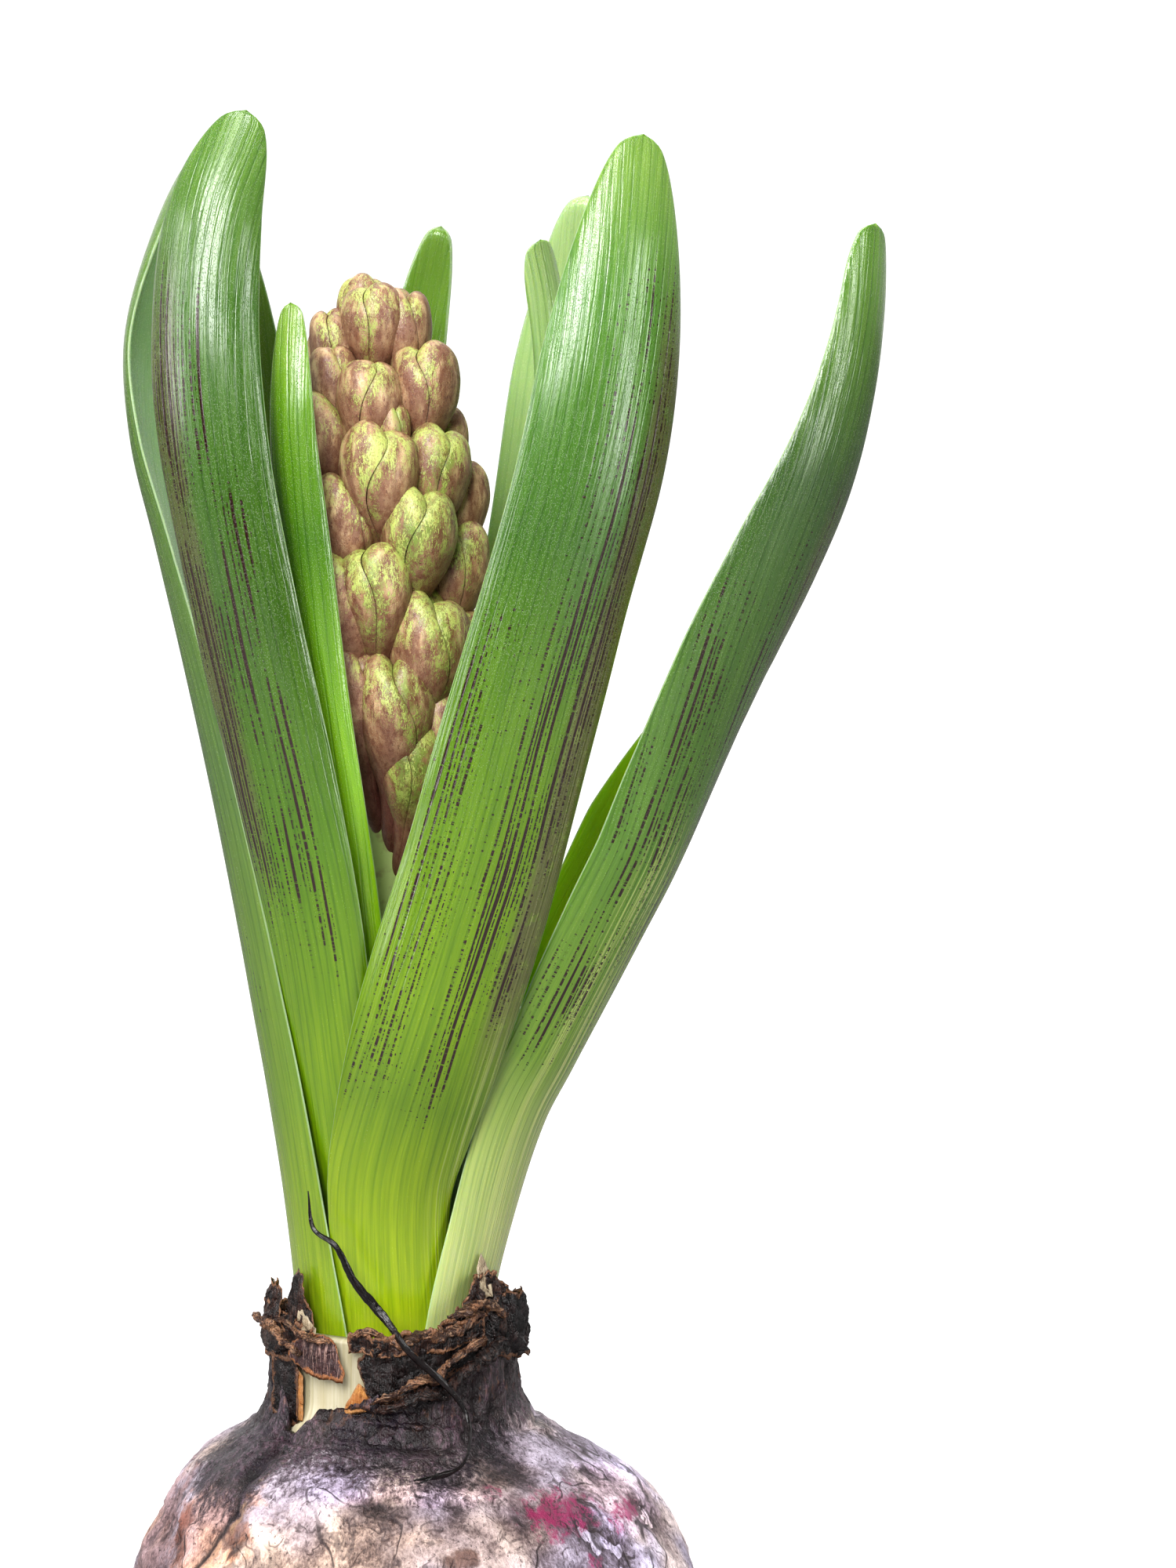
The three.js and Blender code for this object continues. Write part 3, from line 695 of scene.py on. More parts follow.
@dataclass(frozen=True)
class LeafFinish:
    """The colours and marks of one blade, as (share of its length, colour) stops and zones."""

    name: str
    stops: Stops
    dots: tuple[Zone, ...] = ()
    dusk: Zone | None = None
    ribs: Zone | None = None
    pits: float = 0.8
    # Painted light on the inner face: it stands in for light that reaches into the channel and shines through
    # the blade.
    inner_painted_light: Colour = (0.16, 0.33, 0.07)
    seed: float = 0.0

    LIT_TO_SKIN = (0.60, 0.60, 0.30)  # the stops are colours in the studio's light, which adds a white sheen
    BROAD_TINT = (0.66, 0.76, 0.5)
    FINE_TINT = (1.7, 1.45, 1.3)
    VEIN_TINT = (0.5, 0.62, 0.45)
    PIT = (0.5, 0.72, 0.42)
    PURPLE = (0.030, 0.004, 0.006)
    DUSK = (0.13, 0.12, 0.09)
    # Painted highlight on the ribs, where they catch the light.
    RIB_HIGHLIGHT = (0.72, 0.78, 0.55)
    # The margin line: partly the margin's own pale colour, partly a painted rim highlight.
    PALE_MARGIN_AND_HIGHLIGHT = (0.52, 0.68, 0.8)
    ROW_SPACING = 0.95
    DOT_LANES = ((0.95, 1.2), (0.475, 0.9))  # spacing of the rows of dots, and how full they are

    def material(self, effects: Effects) -> Material:
        """Builds the finish.

        Args:
            effects: the shared node groups.

        Returns:
            The material, which reads the blade's own attributes.
        """
        s = Surface(self.name)
        across_mm, along_mm, margin_mm = s.split(s.attribute("blade"))
        across, along, inner = s.split(s.attribute("place"))
        run = {"across": across_mm, "along": along_mm}
        broad = s.use(effects.lines, **run, spacing=1.9, length=50.0, seed=self.seed)
        fine = s.use(effects.lines, **run, spacing=0.3, length=14.0, seed=self.seed + 4)
        vein = s.use(effects.vein, row=s.use(effects.row, **run, spacing=self.ROW_SPACING), width=0.1)
        vein = s.product(vein, s.rise(along, 0.05, 0.4, 0.3, 1.0))
        colour = s.ramp(along, self.stops)
        colour = s.tinted(s.product(broad, 0.45), colour, self.BROAD_TINT)
        colour = s.tinted(s.product(fine, 0.55), colour, self.FINE_TINT)
        colour = s.tinted(s.product(vein, 0.5), colour, self.VEIN_TINT)
        rib = 0.0
        if self.ribs:
            rib = s.use(effects.lines, **run, spacing=0.42, length=60.0, seed=self.seed + 8)
            rib = s.product(s.rise(rib, 0.35, 0.9), self.ribs.mask(s, across, along))
            # Painted highlight: the ribs are lightened where they catch the light; the bump below gives their
            # real relief.
            colour = s.mix(rib, colour, self.RIB_HIGHLIGHT)
        if self.dusk:
            grain = s.use(effects.mottle, place=s.attribute("blade"), size=2.2, amount=0.6, grain=0.6)
            shade = s.product(self.dusk.mask(s, across, along), s.rise(grain, 0.0, 1.0, 0.62, 1.0))
            colour = s.mix(shade, colour, self.DUSK)
        for place, zone in enumerate(self.dots):
            seed = self.seed + 11.0 * place
            fade = s.noise(s.vector(s.product(across_mm, 0.4), s.product(along_mm, 0.07), seed), 1.0)
            fill = s.product(zone.mask(s, across, along), s.rise(fade, 0.3, 0.6, 0.4, 1.0))
            for spacing, share in self.DOT_LANES:
                lane = {"row": s.use(effects.row, **run, spacing=spacing), "along": along_mm}
                dots = s.use(effects.dots, **lane, dash=0.5, fill=s.product(fill, share), seed=seed)
                colour = s.mix(dots, colour, self.PURPLE)
        speck_place = s.vector(across_mm, s.product(along_mm, 0.7), self.seed)
        pits = s.use(effects.specks, place=speck_place, spacing=0.14, size=0.42, share=0.9)
        pits = s.product(pits, s.rise(along, 0.3, 0.75, 0.25, 1.0), self.pits)
        colour = s.mix(s.product(pits, 0.24), colour, s.mix(0.35, colour, self.PIT))
        # Painted light: the inner face is lightened, most towards the foot, for light that reaches into the
        # channel and shines through the blade.
        colour = s.mix(s.product(inner, s.rise(along, 0.5, 0.9, 0.85, 0.62)), colour, self.inner_painted_light)
        # A thin pale line along the margins: partly their own paleness, partly a painted rim highlight.
        colour = s.mix(s.rise(margin_mm, 0.05, 0.2, 0.8, 0.0), colour, self.PALE_MARGIN_AND_HIGHLIGHT)
        relief = s.raised(s.product(broad, 1.1), fine, 0.5)
        relief = s.plus(relief, s.product(rib, 1.6))
        relief = s.minus(relief, s.product(vein, 0.5))
        normal = s.bump(relief, distance=0.05, strength=0.8)
        return s.set(
            base_color=s.shaded(colour, self.LIT_TO_SKIN),
            roughness=s.rise(s.plus(fine, pits), 0.0, 1.6, 0.16, 0.3),
            normal=s.bump(pits, distance=0.035, strength=0.7, normal=normal),
            specular_ior_level=0.7,
            subsurface_weight=0.3,
            subsurface_radius=(0.5, 1.0, 0.06),
            subsurface_scale=0.0013,
        )


@dataclass(frozen=True)
class LeafForm:
    """Where one blade runs and how broad, rolled and thick it is.

    The path is the middle of the outer face above the neck. The other lists are equally spaced from foot to
    tip: facing is the azimuth that the outer face looks to, left_half and right_half are the half widths as
    seen from outside, roll is the radius of the channel and thickness that of the middle.
    """

    name: str
    layer: int
    azimuth: float
    path: tuple[Point, ...]
    facing: tuple[float, ...]
    left_half: tuple[float, ...]
    roll: tuple[float, ...]
    thickness: tuple[float, ...]
    taper_from: float
    finish: LeafFinish
    right_half: tuple[float, ...] | None = None
    wave: float = 0.3


@dataclass
class Leaf:
    """One fleshy blade, closed round its section and at both ends."""

    form: LeafForm
    around_columns: int = 64
    rows: int = 176
    edge: float = 0.65  # thickness at the margins
    tip_half_width: float = 0.6
    neck_run: float = 14.0  # straight length inside the neck
    round_over: float = 12.0  # higher keeps the blade's full thickness closer to its margin
    tip_crowding: float = 0.16  # how much closer together the rows are near the tip
    pinched_rows: int = 3  # rows at the tip that close the blade
    ripple_length: float = 16.0
    ripple_from: float = 0.3  # share of the length where the margins start to ripple
    ripple_full: float = 0.6

    def build(self, effects: Effects) -> bpy.types.Object:
        """Models and dresses the blade.

        Args:
            effects: the shared node groups.

        Returns:
            The finished blade.
        """
        bm = bmesh.new()
        blade = bm.verts.layers.float_vector.new("blade")
        place = bm.verts.layers.float_vector.new("place")
        spine = self._spine()
        sections: dict[float, tuple] = {}
        for vert, turn, up in sheet(bm, self.around_columns, self.rows):
            row = round(up, 5)
            if row not in sections:
                sections[row] = self._section(spine, row)
            vert.co, vert[blade], vert[place] = self._point(sections[row], turn)
        close_tube(bm)
        material = self.form.finish.material(effects)
        return finish_piece(f"{self.form.name}_blade", bm, material, [self.form.name])

    def _spine(self) -> Spine:
        """The middle of the blade's outer face, from the floor of the neck to the tip."""
        ring = LEAF_RINGS[self.form.layer]
        foot = around(self.form.azimuth, ring, LEAF_FOOT)
        bend = around(self.form.azimuth, ring, LEAF_FOOT + self.neck_run)
        foot.x = bend.x
        return Spine([foot, bend, *(Vector(point) for point in self.form.path)])

    def _section(self, spine: Spine, row: float) -> tuple:
        """Measures one crosswise slice of the blade.

        Args:
            spine: the middle of the outer face.
            row: how far up the mesh's rows, from 0 to 1.

        Returns:
            Its share of the length, centre, sideways and outward directions, left and right half widths,
            roll, thickness, the blade's length and how much the tip's end pinches it.
        """
        form = self.form
        share = min(row + self.tip_crowding * math.sin(math.pi * row) * row, 1.0)
        centre, along = spine.at(share)
        look = math.radians(through(form.facing, share))
        sideways = along.cross(Vector((math.cos(look), math.sin(look), 0.0))).normalized()
        outward = sideways.cross(along)
        closing = max(0.0, (share - form.taper_from) / (1 - form.taper_from))
        rounding = math.sqrt(max(0.0, 1 - closing**2))
        left = lerp(self.tip_half_width, through(form.left_half, share), rounding)
        right = lerp(self.tip_half_width, through(form.right_half or form.left_half, share), rounding)
        thickness = through(form.thickness, share)
        roll = through(form.roll, share)
        last = min(1.0, (1 - row) * self.rows / self.pinched_rows)
        pinch = math.sqrt(1 - (1 - last) ** 2)
        return share, centre, sideways, outward, left, right, roll, thickness, spine.length, pinch

    def _point(self, section: tuple, turn: float) -> tuple[Vector, Vector, Vector]:
        """One point of a slice.

        Args:
            section: the slice, from _section.
            turn: how far round the slice, from 0 at the left margin, over the outer face, and back.

        Returns:
            The point and its blade and place attributes.
        """
        share, centre, sideways, outward, left, right, roll, middle, length, pinch = section
        u = -math.cos(2 * math.pi * turn)
        half = left if u < 0 else right
        full = lerp(middle, self.edge, u * u) * pinch
        rounded = math.sqrt(max(0.0, 1 - abs(u) ** self.round_over))
        depth = full * (1 - rounded) / 2 if turn < 0.5 else full * (1 + rounded) / 2
        angle = u * half * pinch / roll
        hub = centre - outward * roll
        free = smoothstep(share, self.ripple_from, self.ripple_full)
        wave = cloud(Vector((4.0 * u, share * length, 0.0)), self.ripple_length, self.form.azimuth)
        ripple = free * self.form.wave * u * u * wave
        reach = roll - depth + ripple
        point = hub + sideways * (reach * math.sin(angle)) + outward * (reach * math.cos(angle))
        blade = Vector((u * half, share * length, (1 - abs(u)) * half))
        return point, blade, Vector((u, share, 0.0 if turn < 0.5 else 1.0))


YELLOW_GREEN: Colour = (0.175, 0.32, 0.006)
FRESH_GREEN: Colour = (0.10, 0.235, 0.010)
MID_GREEN: Colour = (0.05, 0.135, 0.010)
COOL_GREEN: Colour = (0.065, 0.175, 0.042)
TIP_GREEN: Colour = (0.26, 0.45, 0.16)

LEAVES = (
    LeafForm(
        name="leaf_front_left", layer=2, azimuth=-128,
        path=(
            (-6.2, -6.9, 74), (-7.2, -8.7, 82), (-8.4, -9.8, 92), (-10.4, -11.8, 107.5), (-13.8, -14.2, 125),
            (-17.6, -15.8, 143), (-20.6, -16.2, 160), (-21.4, -15.4, 174), (-20.2, -13.6, 185),
            (-16.6, -9.4, 195.6),
        ),
        facing=(-128, -124, -118, -116, -110, -103, -96),
        left_half=(9.0, 8.0, 6.6, 6.8, 6.8, 6.8, 6.4),
        right_half=(5.6, 5.4, 6.0, 6.8, 6.8, 6.8, 6.4),
        roll=(9.0, 8.6, 9.5, 11, 10.5, 9, 6.5),
        thickness=(1.4, 1.4, 1.6, 1.6, 1.5, 1.4, 1.2), taper_from=0.86,
        finish=LeafFinish(
            name="front_left_green",
            stops=(
                # The foot's bright yellow-green is partly painted light, lifting the part of the blade that
                # the leaves in front shade.
                (0.06, (0.5, 0.72, 0.03)), (0.16, YELLOW_GREEN), (0.32, YELLOW_GREEN), (0.46, FRESH_GREEN),
                (0.62, MID_GREEN), (0.85, (0.07, 0.18, 0.05)), (0.98, (0.14, 0.29, 0.10)),
            ),
            dots=(Zone(-0.95, 0.1, 0.40, 0.88, 1.3), Zone(-0.6, 0.6, 0.36, 0.75, 0.9)),
            dusk=Zone(-1.3, -0.4, 0.46, 0.86, 0.7),
            seed=1.0,
        ),
    ),
    LeafForm(
        name="leaf_front_centre", layer=1, azimuth=-88,
        path=(
            (-2.0, -10.8, 77), (-1.6, -12, 82), (-0.4, -13.2, 87), (3.5, -15.4, 99.5), (8.6, -16.6, 115.5),
            (12.6, -17.6, 130), (16.3, -18.2, 143), (20.6, -18.4, 158), (22.9, -17.8, 170),
            (24.3, -15.8, 182), (25.2, -12.2, 193),
        ),
        facing=(-88, -88, -84, -78, -74, -70, -72),
        left_half=(7.4, 7.1, 9.4, 9.2, 8.8, 8.8, 7.2),
        right_half=(7.4, 7.3, 9.2, 9.2, 8.8, 8.8, 7.2),
        roll=(8.4, 9.6, 13, 14, 13.5, 12, 8),
        thickness=(1.4, 1.4, 1.7, 1.8, 1.7, 1.5, 1.2), taper_from=0.8,
        finish=LeafFinish(
            name="front_centre_green",
            stops=(
                (0.04, (0.66, 0.78, 0.14)), (0.13, (0.38, 0.54, 0.02)), (0.28, (0.14, 0.26, 0.006)),
                (0.36, YELLOW_GREEN), (0.52, (0.13, 0.27, 0.01)), (0.7, COOL_GREEN),
                (0.88, (0.12, 0.30, 0.09)), (0.98, (0.22, 0.40, 0.16)),
            ),
            dots=(
                Zone(0.0, 0.8, 0.34, 0.8, 1.2), Zone(-0.95, 0.4, 0.26, 0.66, 0.9),
                Zone(-0.3, 0.9, 0.5, 0.92, 0.8),
            ),
            dusk=Zone(0.54, 1.3, 0.34, 0.88, 0.85),
            ribs=Zone(0.6, 1.3, -0.2, 0.62, 0.42),
            seed=2.0,
        ),
    ),
    LeafForm(
        name="leaf_right", layer=0, azimuth=-8,
        path=(
            (11.3, -2.3, 77), (14.5, -2.4, 87), (17.6, -2.6, 93), (24.8, -3.6, 107), (28.8, -4.2, 115),
            (32.2, -5.1, 123.5), (37.4, -7.9, 137), (41.4, -9.3, 147), (45.2, -9.8, 157), (47.9, -9.5, 167),
            (49.2, -8.8, 175), (49.9, -7.4, 183.8),
        ),
        facing=(-8, -11, -15, -18, -21, -33, -43, -45, -45),
        left_half=(11.6, 10.6, 9.9, 11.5, 11.8, 10.4, 8, 5, 3),
        right_half=(10.6, 10.3, 12.4, 18.6, 20.4, 16, 9.5, 6.4, 4),
        roll=(10.4, 10.2, 9.6, 10, 10, 10, 9.8, 8.2, 5.5),
        thickness=(1.4, 1.4, 1.4, 1.5, 1.5, 1.5, 1.5, 1.4, 1.2), taper_from=0.955,
        finish=LeafFinish(
            name="right_green",
            stops=(
                (0.08, (0.76, 0.84, 0.86)), (0.2, (0.5, 0.62, 0.46)), (0.32, (0.19, 0.34, 0.07)),
                (0.5, (0.11, 0.25, 0.055)), (0.8, (0.055, 0.13, 0.055)), (0.98, (0.15, 0.32, 0.10)),
            ),
            dots=(Zone(-0.95, 0.3, 0.3, 0.72, 1.0), Zone(-0.4, 0.7, 0.45, 0.82, 0.8)),
            dusk=Zone(0.2, 1.3, 0.42, 0.78, 0.5),
            ribs=Zone(-0.5, 1.3, -0.2, 0.5, 0.8),
            inner_painted_light=(0.6, 0.95, 0.02),
            seed=3.0,
        ),
    ),
    LeafForm(
        name="leaf_inner_front", layer=3, azimuth=-122,
        path=(
            (-4.7, -5.8, 90), (-6.4, -8.8, 111), (-9.2, -12.2, 133), (-11.1, -13.2, 150),
            (-12.1, -13.2, 161), (-12.2, -12.2, 169), (-12, -10, 175.4),
        ),
        facing=(-122, -118, -116, -114, -112, -108),
        left_half=(4.0, 4.0, 3.8, 3.6, 3.5, 3.0),
        roll=(4.6, 5.5, 6, 5.5, 5, 4),
        thickness=(1.35, 1.4, 1.5, 1.4, 1.3, 1.1), taper_from=0.82,
        finish=LeafFinish(
            name="inner_front_green",
            stops=(
                # The bright yellow-green from 0.45 to 0.62 is partly painted light, lifting the lower blade
                # where the outer leaves shade it.
                (0.08, YELLOW_GREEN), (0.45, (0.34, 0.66, 0.04)), (0.62, (0.26, 0.54, 0.04)),
                (0.8, (0.09, 0.24, 0.03)), (0.92, (0.16, 0.36, 0.03)), (0.99, TIP_GREEN),
            ),
            seed=4.0,
        ),
    ),
    LeafForm(
        name="leaf_far_left", layer=0, azimuth=196,
        path=(
            (-13.1, -3.4, 77), (-15.0, -3.4, 90), (-16.6, -3.3, 99), (-18.2, -3.1, 107.7), (-21.3, -2.5, 123),
            (-24.4, -1.6, 137), (-27.2, -0.4, 149), (-29.6, 0.8, 160), (-29.9, 1.6, 171), (-27.6, 0.4, 181),
            (-24, -2, 189.5), (-19.4, -4.6, 194.8),
        ),
        facing=(196, 198, 198, 190, 178, 158, 168),
        left_half=(10.2, 7.6, 6.4, 7.2, 6.6, 6.0, 5.0),
        right_half=(10.2, 7.0, 5.8, 5.6, 6.0, 6.0, 5.0),
        roll=(10.4, 9.6, 9, 8.5, 8.5, 8, 6),
        thickness=(1.4, 1.4, 1.5, 1.5, 1.4, 1.3, 1.1), taper_from=0.88,
        finish=LeafFinish(
            name="far_left_green",
            stops=(
                (0.06, (0.36, 0.5, 0.02)), (0.26, (0.17, 0.3, 0.04)), (0.5, (0.10, 0.20, 0.08)),
                (0.8, (0.11, 0.22, 0.08)), (0.98, (0.16, 0.32, 0.12)),
            ),
            # A strong painted light on the inner face, which the leaf's own shade would leave dark.
            inner_painted_light=(0.58, 1.0, 0.9),
            dots=(Zone(0.0, 0.9, 0.3, 0.6, 0.5),),
            seed=5.0,
        ),
    ),
    LeafForm(
        name="leaf_back_centre", layer=2, azimuth=84,
        path=(
            (-1.8, 8.6, 85), (-2.0, 12, 105), (-2.0, 15, 122), (-2.0, 16.4, 140), (-1.4, 16.6, 157),
            (0.4, 16, 170), (2.0, 14.6, 178), (3.3, 12.6, 183.9),
        ),
        facing=(84, 86, 88, 90, 90, 86),
        left_half=(5.4, 5.4, 5.2, 4.8, 4.4, 3.8),
        roll=(6.4, 8, 9, 9, 7, 5),
        thickness=(1.35, 1.4, 1.4, 1.4, 1.3, 1.1), taper_from=0.82,
        finish=LeafFinish(
            name="back_centre_green",
            stops=((0.08, YELLOW_GREEN), (0.5, FRESH_GREEN), (0.85, (0.19, 0.38, 0.06)), (0.98, TIP_GREEN)),
            seed=6.0,
        ),
    ),
    LeafForm(
        name="leaf_back_right", layer=1, azimuth=45,
        path=(
            (4.0, 8.0, 78), (6.0, 12, 96), (9.6, 15.8, 121), (13.2, 17.6, 140), (15.4, 18, 153),
            (16.9, 18, 165), (18.4, 17, 176), (19.4, 12.0, 187.2),
        ),
        facing=(45, 50, 60, 64, 66, 66),
        left_half=(5.9, 5.7, 6.8, 7.2, 6.8, 5.4),
        right_half=(5.9, 5.7, 6.4, 6.6, 6.8, 5.6),
        roll=(8.4, 9.2, 10.5, 11, 9, 5),
        thickness=(1.4, 1.5, 1.5, 1.5, 1.4, 1.1), taper_from=0.84,
        finish=LeafFinish(
            name="back_right_green",
            stops=(
                (0.08, YELLOW_GREEN), (0.5, (0.2, 0.42, 0.04)), (0.8, (0.42, 0.62, 0.5)),
                (0.98, (0.7, 0.9, 1.0)),
            ),
            inner_painted_light=(0.45, 0.7, 0.5),
            seed=7.0,
        ),
    ),
    LeafForm(
        name="leaf_inner_right", layer=3, azimuth=8,
        path=(
            (4.8, 1.0, 85), (8.8, 2.2, 104), (12.4, 3, 120), (14.0, 3, 136), (15.3, 2.6, 153),
            (16.2, 1.0, 168), (15.5, -0.4, 176), (14.3, -1.6, 182.2),
        ),
        facing=(8, 0, -20, -40, -52, -58),
        left_half=(3.9, 3.8, 3.6, 3.2, 2.9, 3.0),
        roll=(4.6, 5, 4.5, 4, 3.2, 2.6),
        thickness=(1.35, 1.4, 1.3, 1.2, 1.1, 1.0), taper_from=0.95,
        finish=LeafFinish(
            name="inner_right_green",
            stops=(
                (0.08, YELLOW_GREEN), (0.6, FRESH_GREEN), (0.85, (0.28, 0.5, 0.36)), (0.98, (0.4, 0.6, 0.46)),
            ),
            seed=8.0,
        ),
    ),
    LeafForm(
        name="leaf_back_left", layer=1, azimuth=140,
        path=(
            (-9.2, 8.6, 85), (-10.6, 11, 105), (-12.2, 13, 122), (-15.4, 15, 148), (-18.0, 15.2, 165),
            (-19.3, 14.2, 176), (-20.2, 12.0, 185),
        ),
        facing=(140, 136, 132, 130, 128, 126),
        left_half=(6.3, 6.0, 5.6, 5.2, 4.8, 4.0),
        roll=(8.4, 9, 9.5, 9, 7, 5),
        thickness=(1.4, 1.4, 1.4, 1.4, 1.3, 1.1), taper_from=0.84,
        finish=LeafFinish(
            name="back_left_green",
            stops=(
                # The near-white yellow at the foot is painted light, lifting the shaded foot behind the other
                # leaves.
                (0.08, (0.9, 1.0, 0.1)), (0.3, YELLOW_GREEN), (0.5, FRESH_GREEN), (0.85, COOL_GREEN),
                (0.98, TIP_GREEN),
            ),
            seed=9.0,
        ),
    ),
)


# ---------- Flower spike ----------

SPIKE_FOOT = 114.0
SPIKE_TOP = 170.0
SCAPE_RADIUS = 2.75


def stalk_x(height: float) -> float:
    """Middle line of the stalk, which leans very slightly to the left."""
    return lerp(NECK_X, -3.2, smoothstep(height, SPIKE_FOOT - 20, SPIKE_TOP + 8))


@dataclass(frozen=True)
class BudForm:
    """One closed bud: where its tip stands, how plump and long it is, and how it is turned and coloured.

    The azimuths are those of the bud from the stalk, and of one of its seams from the bud's own middle.
    """

    azimuth: float
    tip: float
    spread: float
    radius: float = 4.0
    length: float = 20.5
    seam: float = 0.0
    green: float = 0.5
    twist: float = 0.22


# The buds that show from the front, from the lowest up.
FRONT_BUDS = (
    BudForm(-79, 137.6, 6.6, 4.25, 21.5, -76, 0.5, 0.35),
    BudForm(-48, 144.2, 7.7, 4.4, 20.5, -68, 0.55, 0.2),
    BudForm(-94, 149.9, 7.8, 3.95, 19.0, -102, 0.6, 0.25),
    BudForm(-58, 155.6, 8.2, 4.05, 18.5, -88, 0.8, -0.3),
    BudForm(-8, 151.8, 8.2, 3.6, 19.0, -75, 0.45, 0.2),
    BudForm(-121, 157.2, 7.8, 3.5, 19.0, -60, 0.3, 0.2),
    BudForm(-34, 162.0, 7.6, 3.7, 17.5, -70, 0.6, -0.2),
    BudForm(2, 158.5, 8.6, 3.3, 17.5, -105, 0.3, 0.15),
    BudForm(-89, 162.4, 7.7, 4.2, 18.5, -86, 0.5, -0.35),
    BudForm(-76, 164.6, 6.7, 1.9, 12.0, -60, 0.5, 0.1),
    BudForm(-32, 170.9, 6.0, 3.8, 18.0, -92, 0.25, 0.3),
    BudForm(-99, 169.6, 6.0, 3.45, 17.0, -84, 0.35, -0.45),
    BudForm(8, 163.6, 6.8, 2.9, 16.0, -80, 0.2, 0.2),
    BudForm(-142, 171.2, 6.2, 2.8, 19.0, -60, 0.2, 0.3),
    BudForm(-165, 174.6, 5.0, 2.6, 15.0, -100, 0.25, 0.2),
    BudForm(-100, 177.4, 2.5, 3.35, 15.0, -104, 0.4, 0.12),
    BudForm(-28, 176.3, 3.3, 2.9, 15.0, -64, 0.2, 0.2),
    BudForm(-62, 131.0, 6.2, 3.5, 18.0, -100, 1.0, 0.2),
    BudForm(-118, 138.8, 6.8, 3.4, 21.0, -60, 0.05, 0.2),
)

# The rest, by rows of (height of the tips, azimuths, spread, size).
BACK_ROWS = (
    (137.2, (-30, 19, 70, 122, 173, -136), 6.5, 1.0),
    (146.4, (-7, 45, 96, 148, 199, -125), 7.7, 1.0),
    (155.6, (33, 84, 136, 187), 8.1, 0.97),
    (162.8, (38, 83, 128, 173, 214), 7.6, 0.9),
    (171.0, (45, 96, 148), 5.5, 0.84),
    (177.4, (45, 165), 1.6, 0.66),
)
ROW_TILT = 3.2  # the rows climb to the left


@dataclass(frozen=True)
class BudFinish:
    """The brown and apple green skin of a bud, with a painted highlight towards its top and painted shade in
    its seams.
    """

    name: str = "bud_skin"
    brown: Colour = (0.24, 0.125, 0.075)
    tube: Colour = (0.15, 0.062, 0.045)
    green: Colour = (0.16, 0.22, 0.035)
    # bright is partly the paler apple green of the shoulders, partly a painted highlight.
    bright: Colour = (0.42, 0.48, 0.13)
    cream_highlight: Colour = (0.66, 0.48, 0.27)
    freckle: Colour = (0.085, 0.022, 0.018)
    freckle_tint: Colour = (0.5, 0.26, 0.24)
    # seam is painted shade, darkening the tepals' margins where they meet.
    seam: Colour = (0.08, 0.028, 0.02)

    def material(self, effects: Effects) -> Material:
        """Builds the finish.

        Args:
            effects: the shared node groups.

        Returns:
            The material, which reads the buds' own attributes.
        """
        s = Surface(self.name)
        across, height, edge_mm = s.split(s.attribute("petal"))
        greenness = s.split(s.attribute("lot"))[0]
        along = s.scaled(s.place_mm(), (1.0, 1.0, 0.42))
        blotch = s.use(effects.mottle, place=along, size=1.5, amount=0.48, grain=0.9)
        freckles = s.use(effects.mottle, place=along, size=0.55, amount=0.46, grain=1.0, seed=7.0)
        upper = s.rise(height, 0.6, 0.95)
        margin = s.rise(s.math("ABSOLUTE", across), 0.35, 0.9)
        green = s.raised(s.product(upper, 0.55), margin, 0.5)
        green = s.raised(green, blotch, 0.45)
        green = s.raised(green, freckles, -0.35)
        green = s.raised(s.minus(green, 0.7), greenness, 1.1)
        green = s.product(s.rise(green, 0.26, 0.9), s.rise(height, 0.34, 0.6, 0.1, 1.0))
        # Paler green towards the top and on the blotches: partly the tepals' own paler apple green, partly a
        # painted highlight.
        green_and_highlight = s.mix(s.rise(s.plus(blotch, upper), 0.4, 1.7), self.green, self.bright)
        # Painted highlight: pale cream patches, growing towards the top of the bud, for its whitish sheen.
        pale = s.rise(s.noise(along, 0.8, detail=3.0), 0.42, 0.68, 0.0, 0.75)
        spots = s.rise(s.noise(along, 3.4, detail=2.0, rough=0.7), 0.6, 0.7)
        colour = s.mix(s.rise(height, 0.2, 0.62), self.tube, self.brown)
        colour = s.mix(s.product(pale, s.rise(height, 0.4, 0.9)), colour, self.cream_highlight)
        colour = s.mix(green, colour, green_and_highlight)
        colour = s.tinted(s.product(freckles, 0.6), colour, self.freckle_tint)
        colour = s.mix(s.product(spots, 0.6), colour, self.freckle)
        # Painted shade: the tepals are darkened along their margins, for the shade in the seams between them.
        colour = s.mix(s.rise(edge_mm, 0.01, 0.09, 0.55, 0.0), colour, self.seam)
        grain = s.noise(s.place_mm(), 4.5, detail=2.0, rough=0.65)
        return s.set(
            base_color=colour,
            roughness=s.rise(grain, 0.2, 0.8, 0.32, 0.5),
            normal=s.bump(s.raised(grain, blotch, 0.5), distance=0.06, strength=0.7),
            specular_ior_level=0.6,
            subsurface_weight=0.05,
            subsurface_scale=0.001,
        )


@dataclass(frozen=True)
class StalkFinish:
    """Pale green skin that darkens upwards, with brown patches."""

    name: str = "stalk_skin"
    low: Colour = (0.42, 0.5, 0.2)
    high: Colour = (0.20, 0.30, 0.07)
    patch: Colour = (0.16, 0.10, 0.06)

    def material(self) -> Material:
        """Builds the finish."""
        s = Surface(self.name)
        place = s.place_mm()
        colour = s.ramp(s.rise(s.split(place)[2], 60.0, 170.0), ((0.0, self.low), (1.0, self.high)))
        grain = s.noise(place, 0.9, detail=3.0)
        colour = s.mix(s.rise(grain, 0.5, 0.7, 0.0, 0.5), colour, self.patch)
        return s.set(base_color=colour, roughness=0.42)


